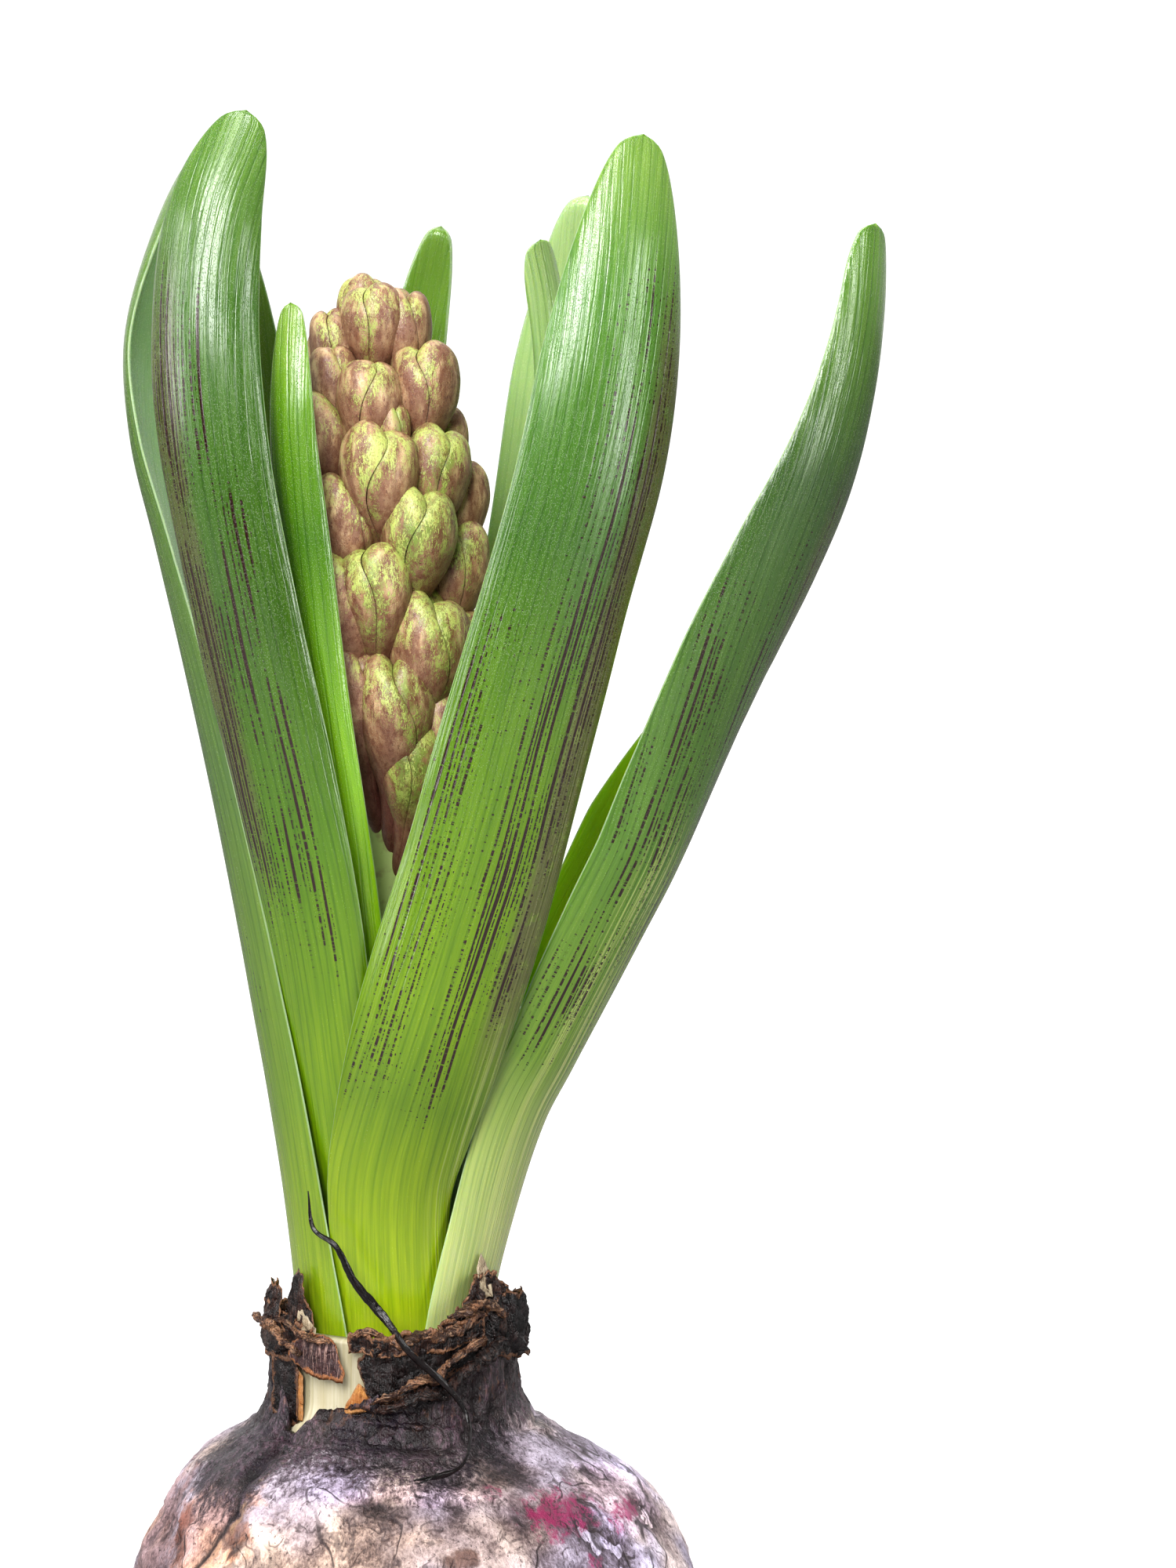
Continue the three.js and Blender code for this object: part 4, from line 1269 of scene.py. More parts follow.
@dataclass
class Spike:
    """The stalk with all its closed buds."""

    tepals: int = 3
    columns_a_tepal: int = 24
    rows: int = 60
    # Radius and height of the bud's outline at equal steps from foot to the dip between the hoods.
    outline_radius: tuple[float, ...] = (
        0.2, 0.3, 0.34, 0.44, 0.66, 0.88, 1.0, 1.03, 0.98, 0.88, 0.68, 0.38, 0.0,
    )
    outline_height: tuple[float, ...] = (
        0.0, 0.12, 0.24, 0.36, 0.47, 0.58, 0.68, 0.77, 0.85, 0.92, 0.97, 0.99, 0.93,
    )
    overlap: float = 0.2  # how far one tepal's margin stands over the next
    groove: float = 0.05  # depth of a seam
    groove_width: float = 0.05  # its half width, as a share of half a tepal
    keel: float = 0.03  # how far a tepal's middle stands out, as a share of the radius
    dent: float = 0.16
    dent_size: float = 2.6
    merge: float = 2e-4  # points of one bud closer together than this become one
    front_rows_split: int = 9  # the front buds from this one up are the upper piece
    back_radius: float = 4.2
    back_length: float = 20.5
    back_detail: float = 0.75

    def build(self, effects: Effects) -> None:
        """Models the stalk and the buds, front and back.

        Args:
            effects: the shared node groups.
        """
        skin = BudFinish().material(effects)
        self._stalk()
        luck = random.Random(5)
        lower, upper = FRONT_BUDS[:self.front_rows_split], FRONT_BUDS[self.front_rows_split:]
        self._buds("buds_front_lower", lower, skin, luck, 1.0)
        self._buds("buds_front_upper", upper, skin, luck, 1.0)
        back = []
        for tip, azimuths, spread, size in BACK_ROWS:
            for azimuth in azimuths:
                rise = ROW_TILT * math.cos(math.radians(azimuth)) * spread / 7
                green = 0.15 + 0.4 * luck.random()
                seam = 120 * luck.random()
                radius, length = self.back_radius * size, self.back_length * size
                back.append(BudForm(azimuth, tip - rise, spread, radius, length, seam, green))
        self._buds("buds_back", back, skin, luck, self.back_detail)

    @staticmethod
    def _stalk() -> None:
        """The pale green stalk up into the spike."""
        bm = bmesh.new()
        bmesh.ops.create_cone(
            bm, cap_ends=True, segments=40, radius1=SCAPE_RADIUS, radius2=SCAPE_RADIUS, depth=1.0
        )
        sides = [edge for edge in bm.edges if abs(edge.verts[0].co.z - edge.verts[1].co.z) > 0.5]
        bmesh.ops.subdivide_edges(bm, edges=sides, cuts=60)
        for vert in bm.verts:
            share = vert.co.z + 0.5
            height = lerp(LEAF_FOOT, SPIKE_TOP, share)
            girth = 1 + 0.55 * smoothstep(height, 116, 132) - 0.7 * smoothstep(height, 150, SPIKE_TOP)
            vert.co = Vector((stalk_x(height) + vert.co.x * girth, vert.co.y * girth, height))
        finish_piece("stalk", bm, StalkFinish().material(), ["flower_spike"])

    def _buds(
        self,
        name: str,
        forms: Sequence[BudForm],
        skin: Material,
        luck: random.Random,
        detail: float,
    ) -> None:
        """Several buds as one piece.

        Args:
            name: the piece's name.
            forms: the buds.
            skin: their finish.
            luck: the source of their small differences.
            detail: a factor on the number of columns and rows.
        """
        bm = bmesh.new()
        petal = bm.verts.layers.float_vector.new("petal")
        lot = bm.verts.layers.float_vector.new("lot")
        columns = self.tepals * round(self.columns_a_tepal * detail)
        rows = round(self.rows * detail)
        for form in forms:
            traits = [(luck.uniform(-0.02, 0.06), luck.random()) for _ in range(self.tepals)]
            points = sheet(bm, columns, rows)
            for vert, turn, share in points:
                vert.co, vert[petal], vert[lot] = self._point(form, turn, share, traits)
            bmesh.ops.remove_doubles(bm, verts=[vert for vert, _, _ in points], dist=self.merge)
        finish_piece(name, bm, skin, ["flower_spike"])

    def _axis(self, form: BudForm, height: float) -> Vector:
        """A point of a bud's middle line, which bends out from the stalk and then up."""
        out = lerp(1.6, form.spread, 1 - max(0.0, 1 - height) ** 2.2)
        z = form.tip - form.length * (1 - height)
        angle = math.radians(form.azimuth)
        return Vector((stalk_x(z) + out * math.cos(angle), out * math.sin(angle), z))

    def _point(
        self, form: BudForm, turn: float, share: float, traits: Sequence[tuple[float, float]]
    ) -> tuple[Vector, Vector, Vector]:
        """One point of a bud.

        Args:
            form: the bud.
            turn: how far round, from 0 to 1.
            share: how far along its outline, from 0 at the foot to 1 between the hoods.
            traits: how far each tepal reaches up and its own random number.

        Returns:
            The point and its petal and lot attributes.
        """
        place = min(turn, 0.999999) * self.tepals
        index = int(place)
        even = 2 * (place - index) - 1
        w = even * (1.5 - 0.5 * even * even)  # -1 to 1 across the tepal, crowded towards its seams
        side = 1 - abs(w)
        reach, luck = traits[index]
        radius = through(self.outline_radius, share)
        height = through(self.outline_height, share)
        crown = smoothstep(share, 0.56, 0.86)
        body = smoothstep(share, 0.2, 0.5)
        height += crown * (reach * (1 - w * w) - 0.03 * abs(w) ** 3)
        middle = self._axis(form, height)
        along = (self._axis(form, height + 0.02) - self._axis(form, height - 0.02)).normalized()
        angle = math.radians(form.azimuth)
        front = Vector((math.cos(angle), math.sin(angle), 0.0))
        front = (front - along * front.dot(along)).normalized()
        flank = along.cross(front)
        bend = form.twist * math.sin(2.2 * math.pi * (share - 0.2))
        bend += 0.05 * math.sin(13 * share + form.azimuth)
        seam = math.radians(form.seam - form.azimuth)
        around_bud = 2 * math.pi * (index + (w + 1) / 2) / self.tepals + seam + bend
        girth = form.radius * max(radius, 0.0)
        open_foot = min(1.0, 3 * max(radius, 0.0))
        keel = self.keel * (1 - abs(w)) * smoothstep(share, 0.5, 0.9)
        puff = 1 + keel - 0.014 * body * abs(w) ** 3 - 0.06 * crown * abs(w) ** 4
        step = self.overlap * (0.5 * w) * body * open_foot * (form.radius / 4)
        cut = self.groove * math.exp(-((side / self.groove_width) ** 2)) * open_foot
        hollow = cloud(middle + front * math.cos(around_bud) * 3, self.dent_size, form.azimuth)
        dent = self.dent * hollow * (1 - w * w)
        size = max(girth * puff + step - cut + dent * min(1.0, 2 * max(radius, 0.0)), 0.0)
        if share >= 1.0:
            size = 0.0
            middle = self._axis(form, through(self.outline_height, 1.0))
        if share <= 0.0:
            size = form.radius * self.outline_radius[0]
        point = middle + front * (size * math.cos(around_bud)) + flank * (size * math.sin(around_bud))
        edge_mm = side * girth * math.pi / self.tepals + 0.5 * (1 - body)
        return point, Vector((w, height, edge_mm)), Vector((form.green, luck, crown))


# ---------- Bulb ----------

# Outline of the tunic from the basal plate to the foot of the neck, as (radius, height).
TUNIC_OUTLINE = (
    (13.2, 2.6), (20.5, 5.6), (27.0, 11.6), (31.0, 20.0), (32.0, 29.0), (30.8, 37.1), (27.8, 43.2),
    (25.4, 46.7), (21.8, 50.0), (17.4, 52.6), (16.2, 53.5),
)
TUNIC_THICKNESS = 0.8
SCALES_INSET = TUNIC_THICKNESS + 1.4 * GAP
NECK_FLARE = 2.4  # how much wider the neck is at its foot
SCALES_RIM = 64.8
SOCKET_RADIUS = 11.1  # of the hole in which the leaves stand

# Top of the torn tunic round the neck, as (azimuth, height).
TUNIC_RIM: Pairs = (
    (-180, 62.8), (-160, 61.6), (-147, 59.5), (-139, 54.6), (-132, 54.4), (-123, 57.2), (-114, 57.4),
    (-90, 59.4), (-66, 61.2), (-45, 63.4), (-20, 63.0), (30, 63.9), (75, 64.6), (120, 63.2), (180, 62.8),
)


def lumpiness(azimuth: float, height: float) -> float:
    """Slow bumps in the bulb's roundness, as a factor on its radius."""
    angle = math.radians(azimuth)
    return 1 + 0.011 * math.cos(3 * angle + 0.6) + 0.008 * math.cos(5 * angle + height / 9)


def neck_radius(height: float) -> float:
    """The tunic's outer radius in the neck, which flares at its foot."""
    return NECK_RADIUS + NECK_FLARE * (1 - smoothstep(height, NECK_FOOT - 2, NECK_FOOT + 4.5))


def bulb_skin(share: float, inset: float) -> tuple[float, float]:
    """Reads the outline of the bulb.

    Args:
        share: the place on it, from 0 at the basal plate to 1 at the neck.
        inset: how far in from the skin.

    Returns:
        The radius and the height there.
    """
    radii = [radius for radius, _ in TUNIC_OUTLINE]
    heights = [height for _, height in TUNIC_OUTLINE]
    radius, height = through(radii, share), through(heights, share)
    step = 0.02
    along = Vector((
        through(radii, share + step) - through(radii, share - step),
        through(heights, share + step) - through(heights, share - step),
    )).normalized()
    return radius - inset * along.y, height + inset * along.x


@dataclass(frozen=True)
class TunicFinish:
    """Dry skin, marbled in cream, brown and lilac, and near black round the neck, with painted highlight
    where it stands out and painted shade in its hollows, creases and tear.
    """

    name: str = "dry_tunic"
    tones: Stops = (
        (0.02, (0.030, 0.020, 0.022)), (0.3, (0.14, 0.11, 0.118)), (0.58, (0.32, 0.275, 0.29)),
        (0.95, (0.58, 0.52, 0.545)),
    )
    cool_tint: Colour = (0.95, 0.91, 1.02)
    warm_tint: Colour = (1.1, 0.96, 0.82)
    right_lilac_and_light: Colour = (1.5, 1.6, 1.75)
    magenta: Colour = (0.20, 0.012, 0.062)
    # tear is painted shade, near black along the tear's slit.
    tear: Colour = (0.012, 0.008, 0.009)
    lip: Colour = (0.32, 0.2, 0.12)
    neck: Colour = (0.003, 0.001, 0.002)
    neck_highlight: Colour = (0.10, 0.058, 0.08)
    neck_patch: Colour = (0.012, 0.005, 0.014)
    bark: Colour = (0.19, 0.085, 0.04)
    stroke: Colour = (0.035, 0.02, 0.02)
    crease_shade: Colour = (0.024, 0.014, 0.016)
    small_crease_shade: Colour = (0.045, 0.03, 0.032)
    # Ragged stains, as (centre, reach, tint, share).
    stains: tuple[tuple[Point, Point, Colour, float], ...] = (
        ((-20.7, -16.0, 45.0), (6.0, 6.0, 6.0), (1.4, 1.05, 0.82), 0.9),
        ((-27.5, -5.6, 42.0), (5.0, 9.0, 9.0), (0.75, 0.5, 0.4), 0.7),
        ((-9.5, -23.5, 44.5), (10.0, 6.0, 4.4), (1.35, 1.3, 1.15), 0.9),
        ((-6.6, -19.7, 50.6), (4.6, 4.0, 1.8), (1.15, 1.15, 1.3), 0.9),
        ((23.3, -7.4, 47.0), (5.6, 8.0, 4.2), (1.6, 1.55, 1.8), 0.9),
        ((4.0, -24.0, 46.5), (7.0, 6.0, 3.6), (0.85, 0.85, 0.92), 0.6),
        ((6.1, -26.4, 44.2), (2.2, 2.0, 0.9), (0.28, 0.18, 0.14), 0.9),
        ((-17.5, -19.5, 46.0), (1.2, 3.0, 5.0), (0.25, 0.17, 0.14), 0.85),
        ((-24.0, -13.0, 43.0), (1.0, 3.0, 5.0), (0.3, 0.17, 0.12), 0.8),
        ((-2.5, -23.0, 48.6), (3.5, 3.0, 0.8), (0.3, 0.28, 0.32), 0.7),
        ((3.0, -21.0, 50.0), (9.0, 3.0, 0.9), (1.9, 1.8, 2.0), 0.6),
        ((12.0, -20.0, 47.5), (1.6, 3.0, 4.0), (0.45, 0.38, 0.4), 0.8),
    )
    # Worn places where magenta skin shows, as (centre, reach).
    worn: tuple[tuple[Point, Point], ...] = (
        ((17.1, -17.0, 47.4), (4.4, 4.4, 2.2)),
        ((14.8, -19.6, 45.8), (1.6, 1.6, 2.0)),
        ((24.4, -9.5, 45.9), (3.4, 3.4, 1.0)),
        ((22.4, -13.0, 44.6), (0.9, 1.2, 2.0)),
        ((9.2, -19.0, 50.0), (0.9, 1.2, 1.3)),
        ((20.2, -19.8, 42.2), (1.0, 1.4, 1.4)),
        ((-14.6, -11.4, 53.0), (1.6, 2.6, 2.6)),
        ((5.2, -13.4, 56.2), (1.0, 1.6, 1.8)),
    )

    def material(self, effects: Effects) -> Material:
        """Builds the finish.

        Args:
            effects: the shared node groups.

        Returns:
            The material, which reads the skin's own attribute.
        """
        s = Surface(self.name)
        place = s.place_mm()
        x, _, z = s.split(place)
        tear, relief, dark_height = s.split(s.attribute("skin"))
        tall = s.scaled(place, (1.0, 1.0, 0.6))
        medium = s.noise(tall, 0.5, detail=4.0, rough=0.62, twist=0.6)
        grain = s.noise(s.scaled(place, (1.0, 1.0, 0.55)), 2.8, detail=3.0, rough=0.75)
        shade = s.noise(place, 0.28, detail=4.0, rough=0.6)
        strands = s.noise(s.scaled(place, (1.0, 1.0, 0.16)), 1.7, detail=3.0, rough=0.7)
        strokes = s.noise(s.scaled(place, (2.4, 2.4, 1.0)), 1.0, detail=3.0, rough=0.7)
        flats = s.use(effects.creases, place=tall, size=5.0, width=0.02)
        small = s.use(effects.creases, place=tall, size=1.6, width=0.03)
        dark = s.rise(s.swung(s.swung(s.minus(z, dark_height), shade, 5.0), strands, 9.0), -1.8, 1.6)
        colour = self._marbled_with_painted_relief(s, place, relief, medium, grain)
        colour = self._stain(s, effects, place, colour, s.plus(grain, medium))
        # Paler and bluer towards the right: partly the skin's lilac tone, partly painted light on the right
        # side.
        colour = s.tinted(s.rise(x, 10.0, 24.0, 0.0, 0.9), colour, self.right_lilac_and_light)
        # Painted shade: near black along the tear, for the shade inside its slit.
        colour = s.mix(s.rise(s.off(tear, -0.25), 0.15, 1.0, 0.92, 0.0), colour, self.tear)
        lip = s.product(s.rise(tear, 0.3, 0.6), s.rise(tear, 1.5, 0.8), s.rise(medium, 0.4, 0.6), 0.75)
        colour = s.mix(lip, colour, self.lip)
        # Painted highlight: the near-black neck is lightened on its raised ridges and fibres.
        raised_highlight = s.product(s.rise(relief, -0.45, 0.35), s.rise(s.plus(strands, grain), 0.9, 1.2))
        neck = s.mix(raised_highlight, self.neck, self.neck_highlight)
        neck = s.mix(s.rise(shade, 0.5, 0.62, 0.0, 0.6), neck, self.neck_patch)
        colour = s.mix(s.product(dark, 0.95), colour, neck)
        bark = s.product(s.rise(strands, 0.53, 0.6), s.rise(medium, 0.48, 0.58), dark, s.rise(z, 54.0, 58.0))
        colour = s.mix(s.product(bark, 0.5), colour, self.bark)
        colour = s.mix(s.rise(strokes, 0.6, 0.66, 0.0, 0.8), colour, self.stroke)
        # Painted shade: darker along the creases, large and small.
        colour = s.mix(s.rise(flats, 0.0, 1.0, 0.85, 0.0), colour, self.crease_shade)
        colour = s.mix(s.rise(small, 0.0, 1.0, 0.6, 0.0), colour, self.small_crease_shade)
        bumps = s.raised(s.raised(grain, small, 0.4), flats, 0.5)
        bumps = s.raised(s.raised(bumps, strands, s.product(dark, 1.6)), medium, 1.6)
        return s.set(
            base_color=colour,
            roughness=s.rise(s.minus(medium, s.product(dark, 0.3)), 0.1, 0.75, 0.26, 0.6),
            normal=s.bump(bumps, distance=0.3, strength=0.9),
            specular_ior_level=0.4,
        )

    def _marbled_with_painted_relief(self, s: Surface, place: Socket, relief: Socket, medium: Socket, grain: Socket) -> Socket:
        """Marbles the skin, with painted highlight where it stands out and painted shade in its hollows.

        Args:
            s: the material.
            place: the place on the skin in millimetres.
            relief: how far the skin stands out.
            medium: noise for the folds' own tone.
            grain: fine noise.

        Returns:
            The colour.
        """
        broad = s.noise(place, 0.13, detail=3.0, rough=0.55, twist=0.8)
        tone = s.swung(s.swung(s.swung(0.63, broad, 0.6), medium, 0.8), grain, 1.15)
        # Painted highlight and shade: the tone is raised where the skin stands out and lowered in its
        # hollows.
        colour = s.ramp(s.raised(tone, relief, 0.55), self.tones)
        warm = s.rise(s.noise(place, 0.09, detail=2.0), 0.4, 0.62)
        return s.mix(warm, s.shaded(colour, self.cool_tint), s.shaded(colour, self.warm_tint))

    def _stain(self, s: Surface, effects: Effects, place: Socket, colour: Socket, rough: Socket) -> Socket:
        """Adds the stains and the worn places.

        Args:
            s: the material.
            effects: the shared node groups.
            place: the place on the skin in millimetres.
            colour: the marbled skin.
            rough: noise that breaks up the worn places.

        Returns:
            The new colour.
        """
        for centre, reach, tint, share in self.stains:
            spot = {"place": place, "centre": centre, "reach": reach}
            mask = s.use(effects.patch, **spot, grain=2.2, ragged=1.3, soft=0.4)
            colour = s.tinted(s.product(mask, share), colour, tint)
        for centre, reach in self.worn:
            spot = {"place": place, "centre": centre, "reach": reach}
            mask = s.use(effects.patch, **spot, grain=1.3, ragged=1.5, soft=0.3)
            worn = s.product(mask, s.rise(rough, 0.8, 1.1))
            colour = s.mix(s.product(worn, 0.9), colour, self.magenta)
        return colour


@dataclass
class Tunic:
    """The papery skin round the bulb, torn at the neck."""

    columns: int = 360
    rows: int = 200
    outer_share: float = 0.82  # rows of the outer face, the rest run down the inner one
    body_share: float = 0.74  # rows of the outer face below the neck
    tear_line: Pairs = ((36.0, -146.0), (42.4, -138.5), (47.4, -132.5), (51.2, -131.0), (54.0, -131.0))
    tear_low: float = 34.0  # the tear runs between these heights
    tear_high: float = 56.0
    far_from_tear: float = 6.0
    # Height from which the skin is dark, as (azimuth, height).
    dark_from: Pairs = (
        (-180, 53.0), (-168, 50.5), (-150, 46.8), (-133, 47.6), (-126, 51.0), (-112, 51.8), (-95, 50.8),
        (-70, 50.4), (-50, 52.4), (-30, 54.0), (-10, 53.6), (60, 53.4), (180, 53.0),
    )
    flakes: Pairs = ((11.0, 15.0), (17.0, 8.0))  # seed and size of two layers of flakes
    sunk: float = 0.45  # how far the smooth outline lies outside the skin's mean
    stands_out: float = 0.35  # the most that the skin may stand out

    def build(self, effects: Effects) -> None:
        """Models the skin with its wrinkles, flakes and torn rim.

        Args:
            effects: the shared node groups.
        """
        bm = bmesh.new()
        skin = bm.verts.layers.float_vector.new("skin")
        for vert, across, row in sheet(bm, self.columns, self.rows):
            vert.co, vert[skin] = self._point(360 * across - 180, row)
        bmesh.ops.remove_doubles(bm, verts=bm.verts, dist=MERGE)
        bmesh.ops.bridge_loops(bm, edges=open_edges(bm))
        finish_piece("tunic_skin", bm, TunicFinish().material(effects), ["tunic"])

    def rim(self, azimuth: float) -> float:
        """Height of the torn rim at an azimuth."""
        spot = Vector((azimuth * RIM_ARC, 3.0, 0.0))
        return stepped(TUNIC_RIM, azimuth) + 0.5 * cloud(spot, 1.6) + 0.35 * cloud(spot, 0.5)

    def _point(self, azimuth: float, row: float) -> tuple[Vector, Vector]:
        """One point of the skin.

        Args:
            azimuth: where round the bulb.
            row: how far up the outer face and down the inner one, from 0 to 1.

        Returns:
            The point and its skin attribute: side of the tear, relief and the height where it turns dark.
        """
        inner = row > self.outer_share
        up = row / self.outer_share if not inner else (1 - row) / (1 - self.outer_share)
        inset = TUNIC_THICKNESS if inner else 0.0
        if up < self.body_share:
            radius, height = bulb_skin(up / self.body_share, inset)
            radius *= lumpiness(azimuth, height)
        else:
            height = lerp(NECK_FOOT + 0.3, self.rim(azimuth), (up - self.body_share) / (1 - self.body_share))
            radius = neck_radius(height) - inset
        spot = around(azimuth, radius, height)
        tear = self._tear(azimuth, height, radius)
        relief = 0.0
        if not inner:
            edge = 1 - smoothstep(up, 0.985, 1.0) * 0.5
            relief = min(self._relief(azimuth, height, spot, tear), self.stands_out) * edge
        mark = Vector((tear, relief, stepped(self.dark_from, azimuth)))
        return around(azimuth, radius + relief, height), mark

    def _tear(self, azimuth: float, height: float, radius: float) -> float:
        """Measures from the long tear at the front left.

        Args:
            azimuth: where round the bulb.
            height: how high.
            radius: the skin's radius there.

        Returns:
            The distance to the right of the tear.
        """
        if not self.tear_low < height < self.tear_high:
            return self.far_from_tear
        wander = 1.2 * cloud(Vector((height, 0.0, 9.0)), 3.0) + 0.4 * cloud(Vector((height, 0.0, 2.0)), 0.9)
        line = stepped(self.tear_line, height)
        return math.radians(azimuth - line) * radius + wander

    def _relief(self, azimuth: float, height: float, spot: Vector, tear: float) -> float:
        """How far the skin stands out of its smooth outline.

        Args:
            azimuth: where round the bulb.
            height: how high up it.
            spot: the point on the smooth outline.
            tear: distance to the right of the tear.

        Returns:
            The distance, above 0 outwards.
        """
        slow = 0.3 * cloud(spot, 9.0, 1.0)
        tall = Vector((spot.x, spot.y, 0.6 * spot.z))
        facets = 0.5 * crumple(tall, 6.0, 2.0) + 0.26 * crumple(tall, 2.4, 3.0)
        facets += 0.12 * crumple(spot, 0.9, 5.0)
        spread = abs(azimuth)
        fibre = Vector((math.radians(spread) * 30, height * 0.22, 0.0))
        fine = 0.08 * cloud(fibre, 0.9, 4.0)
        flakes = 0.0
        for seed, size in self.flakes:
            flakes += 0.2 * smoothstep(cloud(spot, size, seed) + 0.12 * cloud(spot, 1.4, seed), 0.0, 0.03)
        front = between(azimuth, -124, -106, -52, -30)
        band = between(height, 47.5, 51.5, 56, 59)
        wave = Vector((azimuth * 0.035, 0.0, height + 0.03 * (azimuth + 80)))
        wrinkles = front * band * -1.3 * abs(cloud(wave, 1.25, 5.0))
        column = between(azimuth, -172, -160, -131, -126) * smoothstep(height, 48, 53)
        ridge = abs(cloud(Vector((azimuth * 0.16, 0.0, height * 0.12)), 1.5, 6.0))
        ridges = column * 0.8 * (0.5 - ridge * 1.8)
        upright = Vector((spread * 0.2, 0.0, height * 0.2))
        upright = smoothstep(height, 51, 56) * 0.5 * cloud(upright, 1.2, 8.0)
        torn = 0.45 * smoothstep(tear, -0.25, 0.1) * (1 - smoothstep(tear, 0.1, self.far_from_tear))
        return slow + facets + fine + flakes - self.sunk + wrinkles + ridges + upright + torn


@dataclass(frozen=True)
class FleshFinish:
    """Cream flesh with fine upright lines and a little dirt."""

    name: str = "cream_scales"
    flesh: Colour = (0.40, 0.36, 0.235)
    line: Colour = (0.50, 0.46, 0.34)
    soft_line: Colour = (0.36, 0.30, 0.16)
    dirt: Colour = (0.16, 0.11, 0.06)
    radius: float = 12.6  # where the lines' spacing is measured

    def material(self, effects: Effects) -> Material:
        """Builds the finish.

        Args:
            effects: the shared node groups.

        Returns:
            The material, which reads Object coordinates.
        """
        s = Surface(self.name)
        x, y, z = s.split(s.place_mm())
        turn = s.product(s.math("ARCTAN2", y, s.plus(x, -NECK_X)), self.radius)
        lines = s.use(effects.lines, across=turn, along=z, spacing=0.34, length=12.0, seed=2.0)
        soft = s.use(effects.lines, across=turn, along=z, spacing=1.4, length=20.0, seed=5.0)
        dirt = s.noise(s.scaled(s.place_mm(), (1.0, 1.0, 0.4)), 1.6, detail=3.0, rough=0.7)
        colour = s.mix(lines, self.flesh, self.line)
        colour = s.mix(s.product(soft, 0.4), colour, self.soft_line)
        colour = s.mix(s.rise(dirt, 0.66, 0.74, 0.0, 0.7), colour, self.dirt)
        return s.set(base_color=colour, roughness=0.45, normal=s.bump(lines, distance=0.06, strength=0.6))


@dataclass
class Scales:
    """The pale fleshy body of the bulb, with the hole in its neck where the leaves stand."""

    columns: int = 240
    rows: int = 90
    body_share: float = 0.4  # rows up to the neck's foot
    neck_share: float = 0.8  # rows up to the rim, the rest run down the hole

    def build(self, effects: Effects) -> None:
        """Models the body.

        Args:
            effects: the shared node groups.
        """
        bm = bmesh.new()
        for vert, across, row in sheet(bm, self.columns, self.rows):
            vert.co = self._point(360 * across - 180, row)
        close_tube(bm)
        finish_piece("fleshy_scales", bm, FleshFinish().material(effects), ["bulb_scales"])

    def _point(self, azimuth: float, row: float) -> Vector:
        """One point of the body.

        Args:
            azimuth: where round the bulb.
            row: the share of the way up the skin, over the rim and down into the hole.

        Returns:
            The point.
        """
        if row <= self.body_share:
            radius, height = bulb_skin(row / self.body_share, SCALES_INSET)
            return around(azimuth, radius * lumpiness(azimuth, height) - 0.2, height)
        if row <= self.neck_share:
            up = (row - self.body_share) / (self.neck_share - self.body_share)
            height = lerp(NECK_FOOT + 0.4, SCALES_RIM, up)
            ribs = 0.09 * cloud(Vector((azimuth * RIM_ARC, 0.0, height * 0.05)), 0.7, 3.0)
            return around(azimuth, neck_radius(height) - SCALES_INSET - 0.1 + ribs, height)
        down = (row - self.neck_share) / (1 - self.neck_share)
        radius = SOCKET_RADIUS + 0.3
        turn = math.radians(azimuth)
        level = lerp(SCALES_RIM, SOCKET_FLOOR + 0.1, down)
        return Vector((NECK_X + radius * math.cos(turn), radius * math.sin(turn), level))


@dataclass(frozen=True)
class CorkFinish:
    """Brown cork."""

    name: str = "corky_plate"
    dark: Colour = (0.16, 0.095, 0.05)
    light: Colour = (0.30, 0.20, 0.11)

    def material(self, effects: Effects) -> Material:
        """Builds the finish.

        Args:
            effects: the shared node groups.

        Returns:
            The material, which reads Object coordinates.
        """
        s = Surface(self.name)
        place = s.place_mm()
        blotch = s.use(effects.mottle, place=place, size=1.6, amount=0.5, grain=0.9)
        grain = s.noise(place, 1.6, detail=4.0, rough=0.7)
        colour = s.mix(blotch, self.dark, self.light)
        return s.set(base_color=colour, roughness=0.85, normal=s.bump(grain, distance=0.25, strength=0.8))


